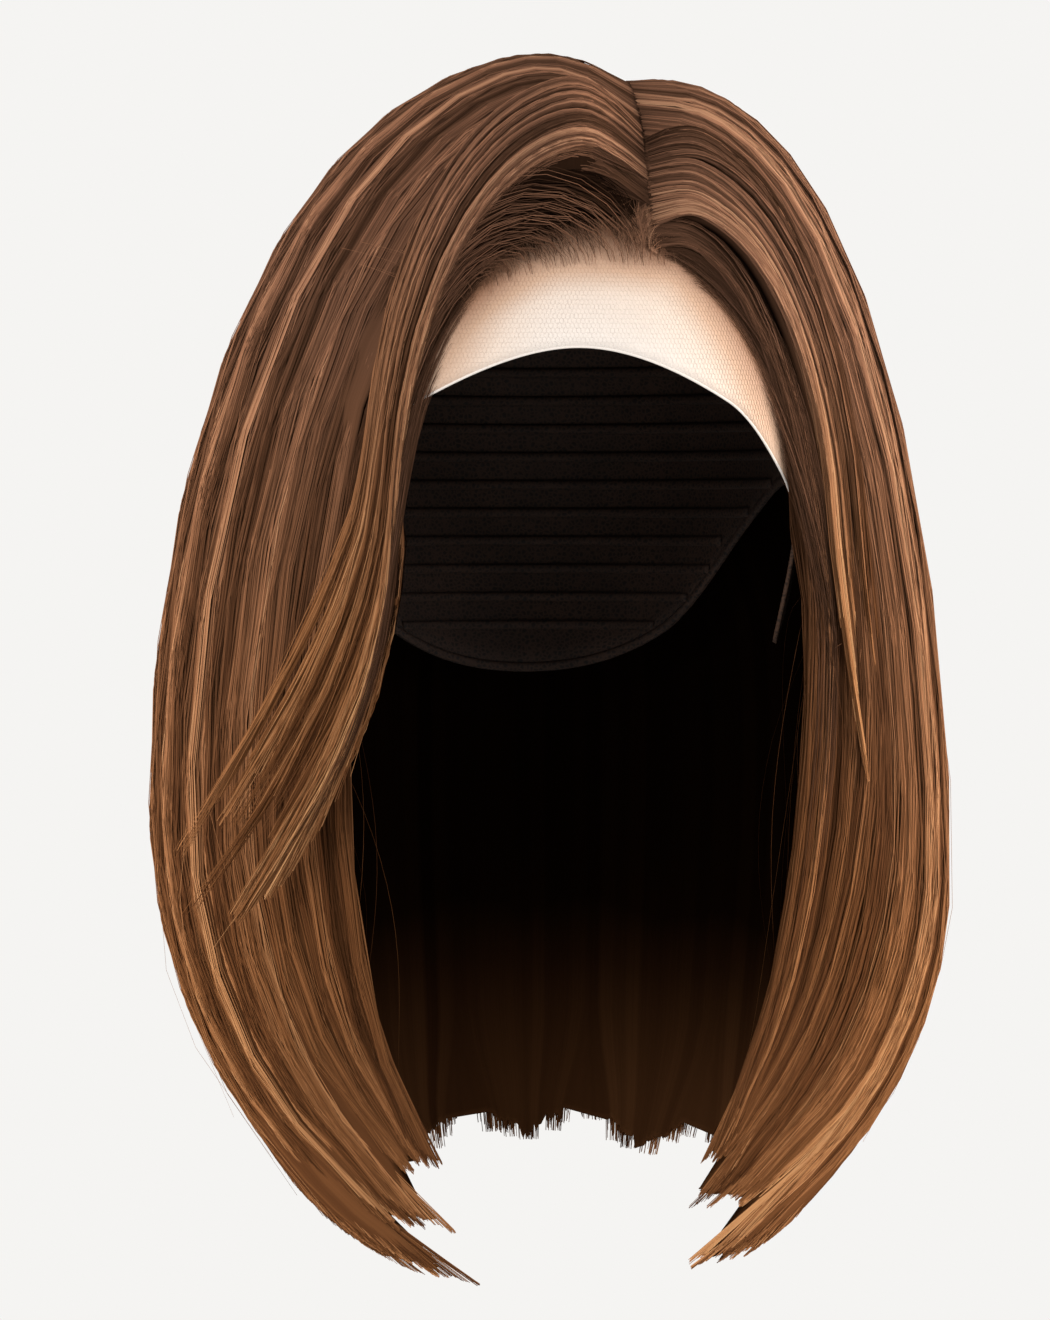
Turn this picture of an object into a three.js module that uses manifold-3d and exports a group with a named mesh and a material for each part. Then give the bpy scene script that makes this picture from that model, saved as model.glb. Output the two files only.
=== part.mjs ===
// Lace front wig: a shoulder-length bob with an off-centre parting, a swept front and ends that turn under.
// Millimetres, +Z up, the face looks along -Y. The origin is where the top of the wearer's head meets the
// inside of the cap. Left and right are the wearer's, so right is towards -X.

import * as THREE from "three";
import { mergeVertices } from "three/addons/utils/BufferGeometryUtils.js";
import Module from "manifold-3d";

const wasm = await Module();
wasm.setup();

// Driving dimensions

const HEAD_HALF_BREADTH = 76;
const HEAD_FRONT_DEPTH = 93;
const HEAD_BACK_DEPTH = 102;
const HEAD_CROWN_HEIGHT = 100; // from the widest ring of the head up to its top
const HEAD_LOWER_HEIGHT = 130; // how slowly the head narrows below that ring

const CAP_WALL = 1.2;
const SEAM_GAP = 0.6;

const PARTING_X = 23; // the parting lies left of the middle
const PARTING_FRONT_Y = -76;
const PARTING_BACK_Y = 30;
const PARTING_HALF_WIDTH = 2.2;
const PARTING_LACE_WIDTH = 3;
const PARTING_LACE_WALL = 0.8;
const CROWN_ROOT_RADIUS = 3; // the hair of the back fans out from a ring at the parting's end

const HAIR_SEAT_GAP = 1.5; // between the cap and the hair that is rooted on it
const HAIR_LEAST = 1.6; // thinnest layer of hair over the cap
const HAIR_FULL = 32; // deepest layer, where it is rooted on the sides of the cap
const HAIR_CURTAIN = 9; // layer that hangs free below the cap
const HAIR_EDGE_SHARE = 0.3; // share of the layer that is left at a panel's front edge
const HAIR_EDGE_ANGLE = 16; // degrees over which the front edge thickens
const HAIR_TIP_SHARE = 0.25;
const FALL_EASE = 0.7; // how much softer the fall is below the shoulder than above it
const TURN_UNDER = 0.58; // power of the curve by which the ends turn under, lower for a later turn
const DOME_SHARE = 0.6; // share of a strand's stations that lie above its widest point
const RISE_POWER = 3; // power of the curve by which a strand rises from the parting to its crest

const LOCK_GROOVE = 2.6; // depth of the grooves between locks
const LOCK_NOTCH = 0.008; // share of a strand's length by which the hem is notched between locks
const TIP_NOTCH = 0.04; // and between the tips into which the hair gathers
const TIP_LEAD = 2; // degrees by which the hair of a tip reaches past it towards the face
const TIP_FROM = 0.86; // share of a strand's length from which it gathers into a tip
const TIP_GATHER = 0.4; // how far it is drawn to its tip
const ROOT_ROW_SHARE = 0.25; // rows of a panel lie closer together at the roots
const ROOT_UPRIGHT = 0.1; // share of a strand's length over which the layer stands upright beside the parting
const SWEEP_INSET = 1.3;
const SLIVER = 0.15; // triangles thinner than this are taken out where two layers fuse
const PANEL_GAP_ANGLE = 0.25; // degrees left free at each side of a panel

// Tables

// Edges of the lace front, as heights at an angle from the middle of the forehead. Both sides are alike, and
// the row before the middle makes the edges level there.
const LACE_EDGES = [
  { angle: -36, seam: -31, rim: -90 },
  { angle: 0, seam: -14, rim: -75 },
  { angle: 36, seam: -31, rim: -90 },
  { angle: 55, seam: -59, rim: -109 },
  { angle: 70, seam: -98, rim: -123 },
  { angle: 80, seam: -127.2, rim: -128.6 },
];

// Lower edge of the cap from the end of the lace, over the ear, to the nape, and a row past it.
const CAP_EDGES = [
  { angle: 80, rim: -127.2 },
  { angle: 90, rim: -122 },
  { angle: 102, rim: -113 },
  { angle: 118, rim: -126 },
  { angle: 142, rim: -160 },
  { angle: 180, rim: -172 },
  { angle: 218, rim: -160 },
];

const EAR_TAB = { from: 71, to: 89, bottom: -161, corner: 13 };

// One strand of the main hair at each angle, counted from the face over the right side, the back and the left
// side. It leaves the parting at root_y, root_lift above the cap, rises to crest within a share of its reach,
// reaches wide and turns under to tip. bow carries it forward round the forehead, and fullness is how square
// its shoulder is.
const MAIN_STRANDS = [
  {
    angle: 37, root_y: -68, root_lift: 1, crest: -18, rise: 0.45, bow: 24, fullness: 2.5,
    wide_x: -66, wide_y: -48, wide_z: -190, tip_x: -35, tip_y: -54, tip_z: -313,
  },
  {
    angle: 60, root_y: -50, root_lift: 4, crest: 7, rise: 0.4, bow: 16, fullness: 2.5,
    wide_x: -99, wide_y: -30, wide_z: -205, tip_x: -26, tip_y: -60, tip_z: -335,
  },
  {
    angle: 90, root_y: -14, root_lift: 9, crest: 19, rise: 0.26, bow: 0, fullness: 2.6,
    wide_x: -122, wide_y: 12, wide_z: -211, tip_x: -23, tip_y: -60, tip_z: -352,
  },
  {
    angle: 125, root_y: 30.5, root_lift: 9, crest: 15.5, rise: 0.24, bow: 0, fullness: 2.6,
    wide_x: -108, wide_y: 66, wide_z: -205, tip_x: -60, tip_y: 34, tip_z: -338,
  },
  {
    angle: 152, root_y: 30, root_lift: 9, crest: 15, rise: 0.24, bow: 0, fullness: 2.6,
    wide_x: -62, wide_y: 106, wide_z: -195, tip_x: -42, tip_y: 70, tip_z: -330,
  },
  {
    angle: 180, root_y: 30, root_lift: 9, crest: 14, rise: 0.24, bow: 0, fullness: 2.6,
    wide_x: 0, wide_y: 119, wide_z: -190, tip_x: 0, tip_y: 84, tip_z: -326,
  },
  {
    angle: 208, root_y: 30, root_lift: 9, crest: 12, rise: 0.24, bow: 0, fullness: 2.6,
    wide_x: 62, wide_y: 106, wide_z: -195, tip_x: 42, tip_y: 70, tip_z: -330,
  },
  {
    angle: 235, root_y: 30.5, root_lift: 9, crest: 11, rise: 0.24, bow: 0, fullness: 2.55,
    wide_x: 110, wide_y: 66, wide_z: -205, tip_x: 60, tip_y: 34, tip_z: -338,
  },
  {
    angle: 270, root_y: -14, root_lift: 9.5, crest: 8.5, rise: 0.22, bow: 0, fullness: 2.55,
    wide_x: 126, wide_y: 12, wide_z: -234, tip_x: 26, tip_y: -60, tip_z: -351,
  },
  {
    angle: 300, root_y: -52, root_lift: 5, crest: -13, rise: 0.26, bow: 2, fullness: 2.4,
    wide_x: 102, wide_y: -28, wide_z: -205, tip_x: 27, tip_y: -60, tip_z: -329,
  },
  {
    angle: 323, root_y: -76, root_lift: 0, crest: -43, rise: 0.3, bow: 10, fullness: 2.2,
    wide_x: 75, wide_y: -44, wide_z: -150, tip_x: 37, tip_y: -54, tip_z: -314,
  },
];

// The shorter front layers that lie over the sides and flick outwards. flick is the power of their sweep.
const RIGHT_SWEEP = [
  {
    angle: 0, root_y: -62, root_lift: 2, crest: -13, rise: 0.42, bow: 24, fullness: 2.6, flick: 2,
    wide_x: -52, wide_y: -74, wide_z: -128, tip_x: -110, tip_y: -44, tip_z: -262,
  },
  {
    angle: 0.5, root_y: -54, root_lift: 3.5, crest: -3, rise: 0.42, bow: 22, fullness: 2.55, flick: 1.6,
    wide_x: -56, wide_y: -73, wide_z: -118, tip_x: -116, tip_y: -38, tip_z: -245,
  },
  {
    angle: 1, root_y: -44, root_lift: 5.5, crest: 9, rise: 0.4, bow: 20, fullness: 2.5, flick: 1.3,
    wide_x: -62, wide_y: -68, wide_z: -108, tip_x: -119, tip_y: -24, tip_z: -226,
  },
];
const LEFT_SWEEP = [
  {
    angle: 0, root_y: -50, root_lift: 5, crest: -6, rise: 0.26, bow: 8, fullness: 2.3, flick: 1.4,
    wide_x: 96, wide_y: -32, wide_z: -135, tip_x: 119, tip_y: -6, tip_z: -246,
  },
  {
    angle: 1, root_y: -72, root_lift: 0.5, crest: -34, rise: 0.3, bow: 12, fullness: 2.2, flick: 1.3,
    wide_x: 79, wide_y: -46, wide_z: -120, tip_x: 111, tip_y: -26, tip_z: -262,
  },
];

// Height of the hairline on the lace, right of the parting, at angles from the middle of the forehead.
const HAIRLINE = [
  { angle: -36, height: -67 },
  { angle: -20, height: -56 },
  { angle: -4, height: -50 },
  { angle: 18, height: -48 },
];
// The roll of hair that stands up from that hairline and meets the sweep over it.
const ROLL = {
  columns: 12, rows: 4, layer: 3, raised: 1.3, recess: 4, sink: 3,
  sweep_at: 0.12, sweep_from: 0.003, sweep_to: 0.32,
};

// The panels of hair. rows and locks set how finely each is divided. Its ends gather into tips at these
// angles. From a tip the hem rises over tip_reach: to greater angles where behind is 1, to smaller ones where
// it is -1, and to both sides where it is 0.
const PANELS = {
  hair_right: {
    strands: MAIN_STRANDS, side: -1, from: 37, to: 125, front: "from", locks: 9, rows: 21,
    tips: [38, 58, 78, 102, 118], tip_reach: 26, behind: 1,
  },
  hair_back: {
    strands: MAIN_STRANDS, side: 0, from: 125, to: 235, locks: 10, rows: 21,
    tips: [136, 158, 180, 202, 224], tip_reach: 22, behind: 0,
  },
  hair_left: {
    strands: MAIN_STRANDS, side: 1, from: 235, to: 323, front: "to", locks: 9, rows: 21,
    tips: [242, 258, 282, 303, 322], tip_reach: 26, behind: -1,
  },
};
const SWEEPS = {
  hair_right: {
    strands: RIGHT_SWEEP, side: -1, from: 0, to: 1, locks: 3, rows: 13, layer: 7, raised: 0.7,
    tips: [0.1, 0.5, 0.9], tip_reach: 0.2, behind: 0,
  },
  hair_left: {
    strands: LEFT_SWEEP, side: 1, from: 0, to: 1, locks: 2, rows: 13, layer: 6, raised: 0.7,
    tips: [0.2, 0.8], tip_reach: 0.3, behind: 0,
  },
};
const COLUMNS_A_LOCK = 3;
const CAP_COLUMNS = 36;
const CAP_ROWS = 9;
const LACE_COLUMNS = 26;
const LACE_ROWS = 4;

// Small helpers

const radians = THREE.MathUtils.degToRad;
const clamp = THREE.MathUtils.clamp;
const lerp = THREE.MathUtils.lerp;
const smooth = (t) => THREE.MathUtils.smoothstep(t, 0, 1);
const power = (base, exponent) => Math.pow(Math.max(base, 0), exponent);
const counted = (n, make) => Array.from({ length: n + 1 }, (_, i) => make(i / n, i));
const DOWN = new THREE.Vector3(0, 0, -1);

// The value of a list that lies nearest to another value.
const nearest = (values, at) => values.reduce((a, b) => (Math.abs(b - at) < Math.abs(a - at) ? b : a));

// Uneven but repeatable value between -1 and 1, for the i-th lock.
const uneven = (i) => Math.sin(12.9898 * i + 4.1414) * Math.cos(7.233 * i);

// Smooth curve through one column of a table, read at a value of its angle column.
function through(rows, name, at) {
  const last = rows.length - 1;
  let i = 0;
  while (i < last - 1 && at > rows[i + 1].angle) i++;
  const slope = (j) => {
    const before = rows[Math.max(j - 1, 0)];
    const after = rows[Math.min(j + 1, last)];
    return (after[name] - before[name]) / (after.angle - before.angle);
  };
  const span = rows[i + 1].angle - rows[i].angle;
  const t = clamp((at - rows[i].angle) / span, 0, 1);
  const bend = span * t * (1 - t) * ((1 - t) * slope(i) - t * slope(i + 1));
  return lerp(rows[i][name], rows[i + 1][name], smooth(t)) + bend;
}

// All columns of a table at one angle.
function rowAt(rows, at) {
  return Object.fromEntries(Object.keys(rows[0]).map((name) => [name, through(rows, name, at)]));
}

// Closed solid between two grids of points with equal rows and columns. A ring closes on itself sideways.
function solidBetween(outer, inner, ring = false) {
  const rows = outer.length;
  const columns = outer[0].length;
  const corners = [];
  const quad = (a, b, c, d) => corners.push(a, b, c, a, c, d);
  const wraps = ring ? columns : columns - 1;
  for (let i = 0; i < rows - 1; i++)
    for (let j = 0; j < wraps; j++) {
      const k = (j + 1) % columns;
      quad(outer[i][j], outer[i + 1][j], outer[i + 1][k], outer[i][k]);
      quad(inner[i][j], inner[i][k], inner[i + 1][k], inner[i + 1][j]);
    }
  for (let j = 0; j < wraps; j++) {
    const k = (j + 1) % columns;
    quad(outer[0][j], outer[0][k], inner[0][k], inner[0][j]);
    quad(outer[rows - 1][j], inner[rows - 1][j], inner[rows - 1][k], outer[rows - 1][k]);
  }
  for (let i = 0; i < rows - 1 && !ring; i++) {
    const end = columns - 1;
    quad(outer[i][0], inner[i][0], inner[i + 1][0], outer[i + 1][0]);
    quad(outer[i][end], outer[i + 1][end], inner[i + 1][end], inner[i][end]);
  }
  return manifoldOf(corners);
}

// Solid of a list of triangle corners. Triangles that shrink to a line, as at the top of a dome, are dropped.
function manifoldOf(corners) {
  const soup = new THREE.BufferGeometry().setFromPoints(corners);
  const merged = mergeVertices(soup, 1e-3);
  const index = merged.index.array;
  const kept = [];
  for (let i = 0; i < index.length; i += 3) {
    const [a, b, c] = [index[i], index[i + 1], index[i + 2]];
    if (a !== b && b !== c && a !== c) kept.push(a, b, c);
  }
  const solid = (triVerts) =>
    new wasm.Manifold(
      new wasm.Mesh({
        numProp: 3,
        vertProperties: merged.attributes.position.array,
        triVerts: new Uint32Array(triVerts),
      }),
    );
  const made = solid(kept);
  return made.volume() > 0 ? made : solid(kept.reverse());
}

// Named mesh of a solid.
function meshOf(name, solid, material) {
  const made = solid.getMesh();
  const geometry = new THREE.BufferGeometry();
  geometry.setAttribute("position", new THREE.BufferAttribute(made.vertProperties, made.numProp));
  geometry.setIndex(new THREE.BufferAttribute(made.triVerts, 1));
  geometry.computeVertexNormals();
  const mesh = new THREE.Mesh(geometry, material);
  mesh.name = name;
  return mesh;
}

// The head and the cap's surfaces

// Point of the head's form, grown outwards by a wall, at an angle from the front and a polar angle from the
// top.
function headPoint(angle, polar, grown) {
  const height = (Math.cos(polar) >= 0 ? HEAD_CROWN_HEIGHT : HEAD_LOWER_HEIGHT) + grown;
  const depth = (Math.cos(angle) >= 0 ? HEAD_FRONT_DEPTH : HEAD_BACK_DEPTH) + grown;
  return new THREE.Vector3(
    (HEAD_HALF_BREADTH + grown) * Math.sin(polar) * Math.sin(angle),
    -depth * Math.sin(polar) * Math.cos(angle),
    -HEAD_CROWN_HEIGHT + height * Math.cos(polar),
  );
}

// Polar angle at which the head's form has a height.
function polarAt(z) {
  const above = z + HEAD_CROWN_HEIGHT;
  return Math.acos(above / (above >= 0 ? HEAD_CROWN_HEIGHT : HEAD_LOWER_HEIGHT));
}

// Height of the grown head above a point in plan.
function headTop(x, y, grown) {
  const depth = (y < 0 ? HEAD_FRONT_DEPTH : HEAD_BACK_DEPTH) + grown;
  const flat = 1 - (x / (HEAD_HALF_BREADTH + grown)) ** 2 - (y / depth) ** 2;
  return -HEAD_CROWN_HEIGHT + (HEAD_CROWN_HEIGHT + grown) * Math.sqrt(Math.max(flat, 0));
}

// The point of the head's axis that a point of the hair looks at.
function axisPoint(point) {
  return new THREE.Vector3(0, 0, Math.min(point.z, -HEAD_CROWN_HEIGHT));
}

// How far out a point lies: 1 on the grown head's surface, along the way to axisPoint.
function headRatio(point, grown) {
  const depth = (point.y < 0 ? HEAD_FRONT_DEPTH : HEAD_BACK_DEPTH) + grown;
  const above = point.z + HEAD_CROWN_HEIGHT;
  const ring = Math.hypot(point.x / (HEAD_HALF_BREADTH + grown), point.y / depth);
  if (above >= 0) return Math.hypot(ring, above / (HEAD_CROWN_HEIGHT + grown));
  return ring / Math.sqrt(Math.max(1 - (above / (HEAD_LOWER_HEIGHT + grown)) ** 2, 0.01));
}

// Distance from a point of the hair inwards to the grown head.
function depthOver(point, grown) {
  const axis = axisPoint(point);
  return point.distanceTo(axis) * (1 - 1 / headRatio(point, grown));
}

// Wall of the cap or lace between two edges, given as heights for an angle in degrees.
function headWall(angles, topEdge, lowEdge, rows, ring, wall = CAP_WALL) {
  const grid = (grown) =>
    counted(rows, (t) =>
      angles.map((angle) => {
        const polar = lerp(topEdge(angle), lowEdge(angle), t);
        return headPoint(radians(angle), polar, grown);
      }),
    );
  return solidBetween(grid(wall), grid(0), ring);
}

// The cap, the lace and the ear tabs

const fromFront = (angle) => Math.abs(((angle + 180) % 360) - 180);

function capEdge(angle) {
  const turned = fromFront(angle);
  const last = LACE_EDGES.at(-1).angle;
  return turned <= last ? through(LACE_EDGES, "seam", turned) : through(CAP_EDGES, "rim", turned);
}

function wigCap() {
  const angles = Array.from({ length: CAP_COLUMNS }, (_, i) => (360 * i) / CAP_COLUMNS);
  return headWall(angles, () => 0, (angle) => polarAt(capEdge(angle)), CAP_ROWS, true);
}

function laceFront() {
  const end = LACE_EDGES.at(-1).angle - 0.5;
  const angles = counted(LACE_COLUMNS, (t) => lerp(-end, end, t));
  const seam = (angle) => polarAt(through(LACE_EDGES, "seam", Math.abs(angle)) - SEAM_GAP);
  const rim = (angle) => polarAt(through(LACE_EDGES, "rim", Math.abs(angle)));
  return headWall(angles, seam, rim, LACE_ROWS, false);
}

function earTab(side) {
  const middle = (EAR_TAB.from + EAR_TAB.to) / 2;
  const half = (EAR_TAB.to - EAR_TAB.from) / 2;
  const angles = counted(6, (t) => side * lerp(EAR_TAB.from, EAR_TAB.to, t));
  const top = (angle) => {
    const turned = Math.abs(angle);
    const last = LACE_EDGES.at(-1).angle;
    const rim = turned <= last ? through(LACE_EDGES, "rim", turned) : through(CAP_EDGES, "rim", turned);
    return polarAt(rim - SEAM_GAP);
  };
  const bottom = (angle) => {
    const off = (Math.abs(angle) - middle) / half;
    return polarAt(EAR_TAB.bottom + EAR_TAB.corner * off ** 4);
  };
  return headWall(angles, top, bottom, 3, false);
}

function partingLace() {
  const low = CAP_WALL + SEAM_GAP;
  const strip = (grown) =>
    counted(14, (t) => {
      const y = lerp(PARTING_FRONT_Y, PARTING_BACK_Y - CROWN_ROOT_RADIUS, t);
      return [-0.5, 0, 0.5].map((share) => {
        const x = PARTING_X + share * PARTING_LACE_WIDTH;
        return new THREE.Vector3(x, y, headTop(x, y, grown));
      });
    });
  return solidBetween(strip(low + PARTING_LACE_WALL), strip(low));
}

// The hair

// Where a strand leaves the cap. The sides start at the parting, and the back at the ring at its end. The
// roots of a sweep lie inside the layer below it.
function rootOf(row, side) {
  const turn = radians(row.angle);
  const inset = row.flick ? SWEEP_INSET : 0;
  const beside = side * (PARTING_HALF_WIDTH + inset);
  const x = PARTING_X + (side ? beside : -CROWN_ROOT_RADIUS * Math.sin(turn));
  const y = side ? row.root_y : PARTING_BACK_Y - CROWN_ROOT_RADIUS * Math.cos(turn);
  const onCap = headTop(x, y, CAP_WALL + HAIR_SEAT_GAP + HAIR_LEAST + inset);
  return new THREE.Vector3(x, y, onCap + row.root_lift);
}

// Point of a strand at a share of its length: over the head to its widest point, then down to its tip.
function strandPoint(row, side, along, raised = 0) {
  const root = rootOf(row, side);
  const wide = new THREE.Vector3(row.wide_x, row.wide_y, row.wide_z);
  const tip = new THREE.Vector3(row.tip_x, row.tip_y, row.tip_z);
  let point;
  if (along < DOME_SHARE) {
    const turn = ((along / DOME_SHARE) * Math.PI) / 2;
    const reach = power(Math.sin(turn), 2 / row.fullness);
    const height = power(Math.cos(turn), 2 / (row.fullness - FALL_EASE));
    const dip = (row.crest - root.z) * power(1 - reach / row.rise, RISE_POWER);
    point = root.clone().lerp(wide, reach);
    point.y -= row.bow * Math.sin(Math.PI * reach);
    point.z = lerp(wide.z, row.crest, height) - dip;
  } else {
    const drop = (along - DOME_SHARE) / (1 - DOME_SHARE);
    const sweep = row.flick ? power(drop, row.flick) : 1 - power(1 - drop * drop, TURN_UNDER);
    point = wide.clone().lerp(tip, sweep);
    point.z = lerp(wide.z, tip.z, drop);
  }
  return clearOfHead(point, raised);
}

// The same point, moved out of the cap where it lies too close to it.
function clearOfHead(point, raised) {
  const least = headRatio(point, CAP_WALL + HAIR_SEAT_GAP + HAIR_LEAST + raised);
  if (least >= 1 || point.z < LACE_EDGES.at(-1).rim) return point;
  const axis = axisPoint(point);
  return axis.clone().add(point.sub(axis).divideScalar(least));
}

// Depth of the layer of hair at a point of a panel.
function layerAt(panel, angle, along, z) {
  const hanging = smooth((-HEAD_CROWN_HEIGHT - z) / 70);
  const edge = panel.front ? Math.abs(angle - panel[panel.front]) / HAIR_EDGE_ANGLE : 1;
  const edgeShare = lerp(HAIR_EDGE_SHARE, 1, smooth(edge));
  const tipShare = lerp(1, HAIR_TIP_SHARE, smooth((along - 0.78) / 0.22));
  const full = panel.layer ?? lerp(HAIR_FULL, HAIR_CURTAIN, hanging);
  return full * edgeShare * tipShare;
}

// The tip to which the hair of a panel gathers at an angle.
function tipOf(panel, angle) {
  const reached = panel.tips.filter((tip) => (angle - tip) * panel.behind >= -TIP_LEAD);
  return nearest(reached, angle);
}

// A panel of hair: its outside is grooved into locks and its inside sits on the cap.
function hairPanel(panel) {
  const columns = panel.locks * COLUMNS_A_LOCK;
  const gap = panel.layer ? 0 : PANEL_GAP_ANGLE;
  const outer = [];
  const inner = [];
  for (let i = 0; i <= panel.rows; i++) {
    const share = i / panel.rows;
    const closer = share * lerp(ROOT_ROW_SHARE, 1, share);
    outer.push([]);
    inner.push([]);
    for (let j = 0; j <= columns; j++) {
      const angle = lerp(panel.from + gap, panel.to - gap, j / columns);
      const lock = Math.floor(j / COLUMNS_A_LOCK);
      const groove = j % COLUMNS_A_LOCK === 0 ? 1 : 0;
      const tip = tipOf(panel, angle);
      const notch = TIP_NOTCH * Math.min(Math.abs(angle - tip) / panel.tip_reach, 1);
      const length = 1 - notch - LOCK_NOTCH * (groove + 0.3 * uneven(lock + panel.from));
      const along = Math.min(closer * length, 1);
      const drawn = lerp(angle, tip, TIP_GATHER * smooth((along - TIP_FROM) / (1 - TIP_FROM)));
      const point = strandPoint(rowAt(panel.strands, drawn), panel.side, along, panel.raised ?? 0);
      const toAxis = axisPoint(point).sub(point).normalize();
      const inwards = DOWN.clone().lerp(toAxis, smooth(along / ROOT_UPRIGHT)).normalize();
      const room = depthOver(point, CAP_WALL + HAIR_SEAT_GAP + (panel.raised ?? 0));
      const layer = Math.min(layerAt(panel, angle, along, point.z), room > 0 ? room : Infinity);
      const cut = Math.min(LOCK_GROOVE * groove * smooth(along / 0.25), 0.5 * layer);
      outer[i].push(point.clone().addScaledVector(inwards, cut));
      inner[i].push(point.clone().addScaledVector(inwards, layer));
    }
  }
  return solidBetween(outer, inner);
}

// The roll under the right sweep, from the hairline up to the sweep's front edge.
function hairlineRoll() {
  const edge = rowAt(RIGHT_SWEEP, ROLL.sweep_at);
  const outer = counted(ROLL.rows, (up) =>
    counted(ROLL.columns, (t) => {
      const angle = lerp(HAIRLINE.at(-1).angle, HAIRLINE[0].angle, t);
      const polar = polarAt(through(HAIRLINE, "height", angle));
      const foot = headPoint(radians(angle), polar, CAP_WALL + HAIR_SEAT_GAP + ROLL.raised + HAIR_LEAST);
      const top = strandPoint(edge, -1, lerp(ROLL.sweep_from, ROLL.sweep_to, t));
      const point = foot.lerp(top, up);
      const inwards = axisPoint(point).sub(point).normalize();
      const depth = ROLL.recess * Math.sin(Math.PI * up) + ROLL.sink * up;
      return clearOfHead(point.addScaledVector(inwards, depth), ROLL.raised);
    }),
  );
  const inner = outer.map((points) =>
    points.map((point) => {
      const layer = Math.min(ROLL.layer, depthOver(point, CAP_WALL + HAIR_SEAT_GAP + ROLL.raised));
      return point.clone().addScaledVector(axisPoint(point).sub(point).normalize(), layer);
    }),
  );
  return solidBetween(outer, inner);
}

// Layers of hair in one. A pocket that is closed in between them is filled with hair.
function fusedHair(layers) {
  const whole = layers.reduce((fused, layer) => fused.add(layer)).simplify(SLIVER);
  const shells = whole.decompose();
  return shells.reduce((largest, shell) => (shell.volume() > largest.volume() ? shell : largest));
}

// Materials

const hairMaterial = new THREE.MeshStandardMaterial({ color: 0x6b452c, roughness: 0.45, metalness: 0 });
const capMaterial = new THREE.MeshStandardMaterial({ color: 0x33221a, roughness: 0.9, metalness: 0 });
const laceMaterial = new THREE.MeshStandardMaterial({ color: 0xe6cdb9, roughness: 0.85, metalness: 0 });

// Assembly

const wig = new THREE.Group();
wig.name = "lace_front_wig";

const foundation = new THREE.Group();
foundation.add(meshOf("wig_cap", wigCap(), capMaterial));
foundation.add(meshOf("lace_front", laceFront(), laceMaterial));
foundation.add(meshOf("ear_tab_right", earTab(-1), capMaterial));
foundation.add(meshOf("ear_tab_left", earTab(1), capMaterial));
foundation.add(meshOf("parting_lace", partingLace(), laceMaterial));
wig.add(foundation);

const hair = new THREE.Group();
const layers = {
  hair_right: [hairPanel(PANELS.hair_right), hairPanel(SWEEPS.hair_right), hairlineRoll()],
  hair_back: [hairPanel(PANELS.hair_back)],
  hair_left: [hairPanel(PANELS.hair_left), hairPanel(SWEEPS.hair_left)],
};
for (const [name, parts] of Object.entries(layers)) hair.add(meshOf(name, fusedHair(parts), hairMaterial));
wig.add(hair);

export default wig;
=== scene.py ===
"""Looks of the lace front wig: strands of hair over ridged under-layers, the net of the lace, the cap with
its wefts, and the studio. Sizes are millimetres in the part's frame where nothing else is said.
Left and right are the wearer's, so right is towards -X. The face looks along -Y."""

import math

import bpy
import numpy as np
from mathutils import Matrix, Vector


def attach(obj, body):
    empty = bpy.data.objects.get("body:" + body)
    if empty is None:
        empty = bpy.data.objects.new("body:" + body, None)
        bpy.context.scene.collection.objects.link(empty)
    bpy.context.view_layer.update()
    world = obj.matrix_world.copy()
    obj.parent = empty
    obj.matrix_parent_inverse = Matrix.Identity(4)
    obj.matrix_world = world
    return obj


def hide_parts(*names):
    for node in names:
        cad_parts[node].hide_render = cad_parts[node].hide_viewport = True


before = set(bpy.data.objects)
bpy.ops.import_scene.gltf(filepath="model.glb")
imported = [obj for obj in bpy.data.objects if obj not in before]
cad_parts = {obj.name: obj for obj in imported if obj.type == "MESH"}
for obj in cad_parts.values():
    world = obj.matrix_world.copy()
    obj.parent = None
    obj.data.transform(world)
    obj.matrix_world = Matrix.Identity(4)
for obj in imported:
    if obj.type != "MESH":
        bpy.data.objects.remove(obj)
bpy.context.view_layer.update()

MM = 0.001


def table(columns, rows):
    """A short table as one array for each named column."""
    return {name: np.array(values, float) for name, values in zip(columns.split(), zip(*rows))}


# Form of the head, the cap and the hair, with the sizes of the part's source

HEAD_HALF_BREADTH = 76
HEAD_FRONT_DEPTH = 93
HEAD_BACK_DEPTH = 102
HEAD_CROWN_HEIGHT = 100
HEAD_LOWER_HEIGHT = 130
CAP_WALL = 1.2
SEAM_GAP = 0.6

PARTING_X = 23
PARTING_FRONT_Y = -76
PARTING_BACK_Y = 30
PARTING_HALF_WIDTH = 2.2
PARTING_LACE_WIDTH = 3
PARTING_LACE_WALL = 0.8
CROWN_ROOT_RADIUS = 3

HAIR_SEAT_GAP = 1.5
HAIR_LEAST = 1.6
HAIR_FULL = 32
HAIR_CURTAIN = 9
HAIR_EDGE_SHARE = 0.3
HAIR_EDGE_ANGLE = 16
HAIR_TIP_SHARE = 0.25
HAIR_TIP_FROM = 0.78
HAIR_TIP_OVER = 0.22
CURTAIN_REACH = 70
FALL_EASE = 0.7
TURN_UNDER = 0.58
DOME_SHARE = 0.6
RISE_POWER = 3
TIP_NOTCH = 0.04
TIP_LEAD = 2
TIP_FROM = 0.86
TIP_GATHER = 0.4
SWEEP_INSET = 1.3

LACE_EDGES = table(
    "angle seam rim",
    [(-36, -31, -90), (0, -14, -75), (36, -31, -90), (55, -59, -109), (70, -98, -123), (80, -127.2, -128.6)],
)
CAP_EDGES = table(
    "angle rim",
    [(80, -127.2), (90, -122), (102, -113), (118, -126), (142, -160), (180, -172), (218, -160)],
)
EAR_TAB = {"from": 71, "to": 89, "bottom": -161, "corner": 13}

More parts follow.
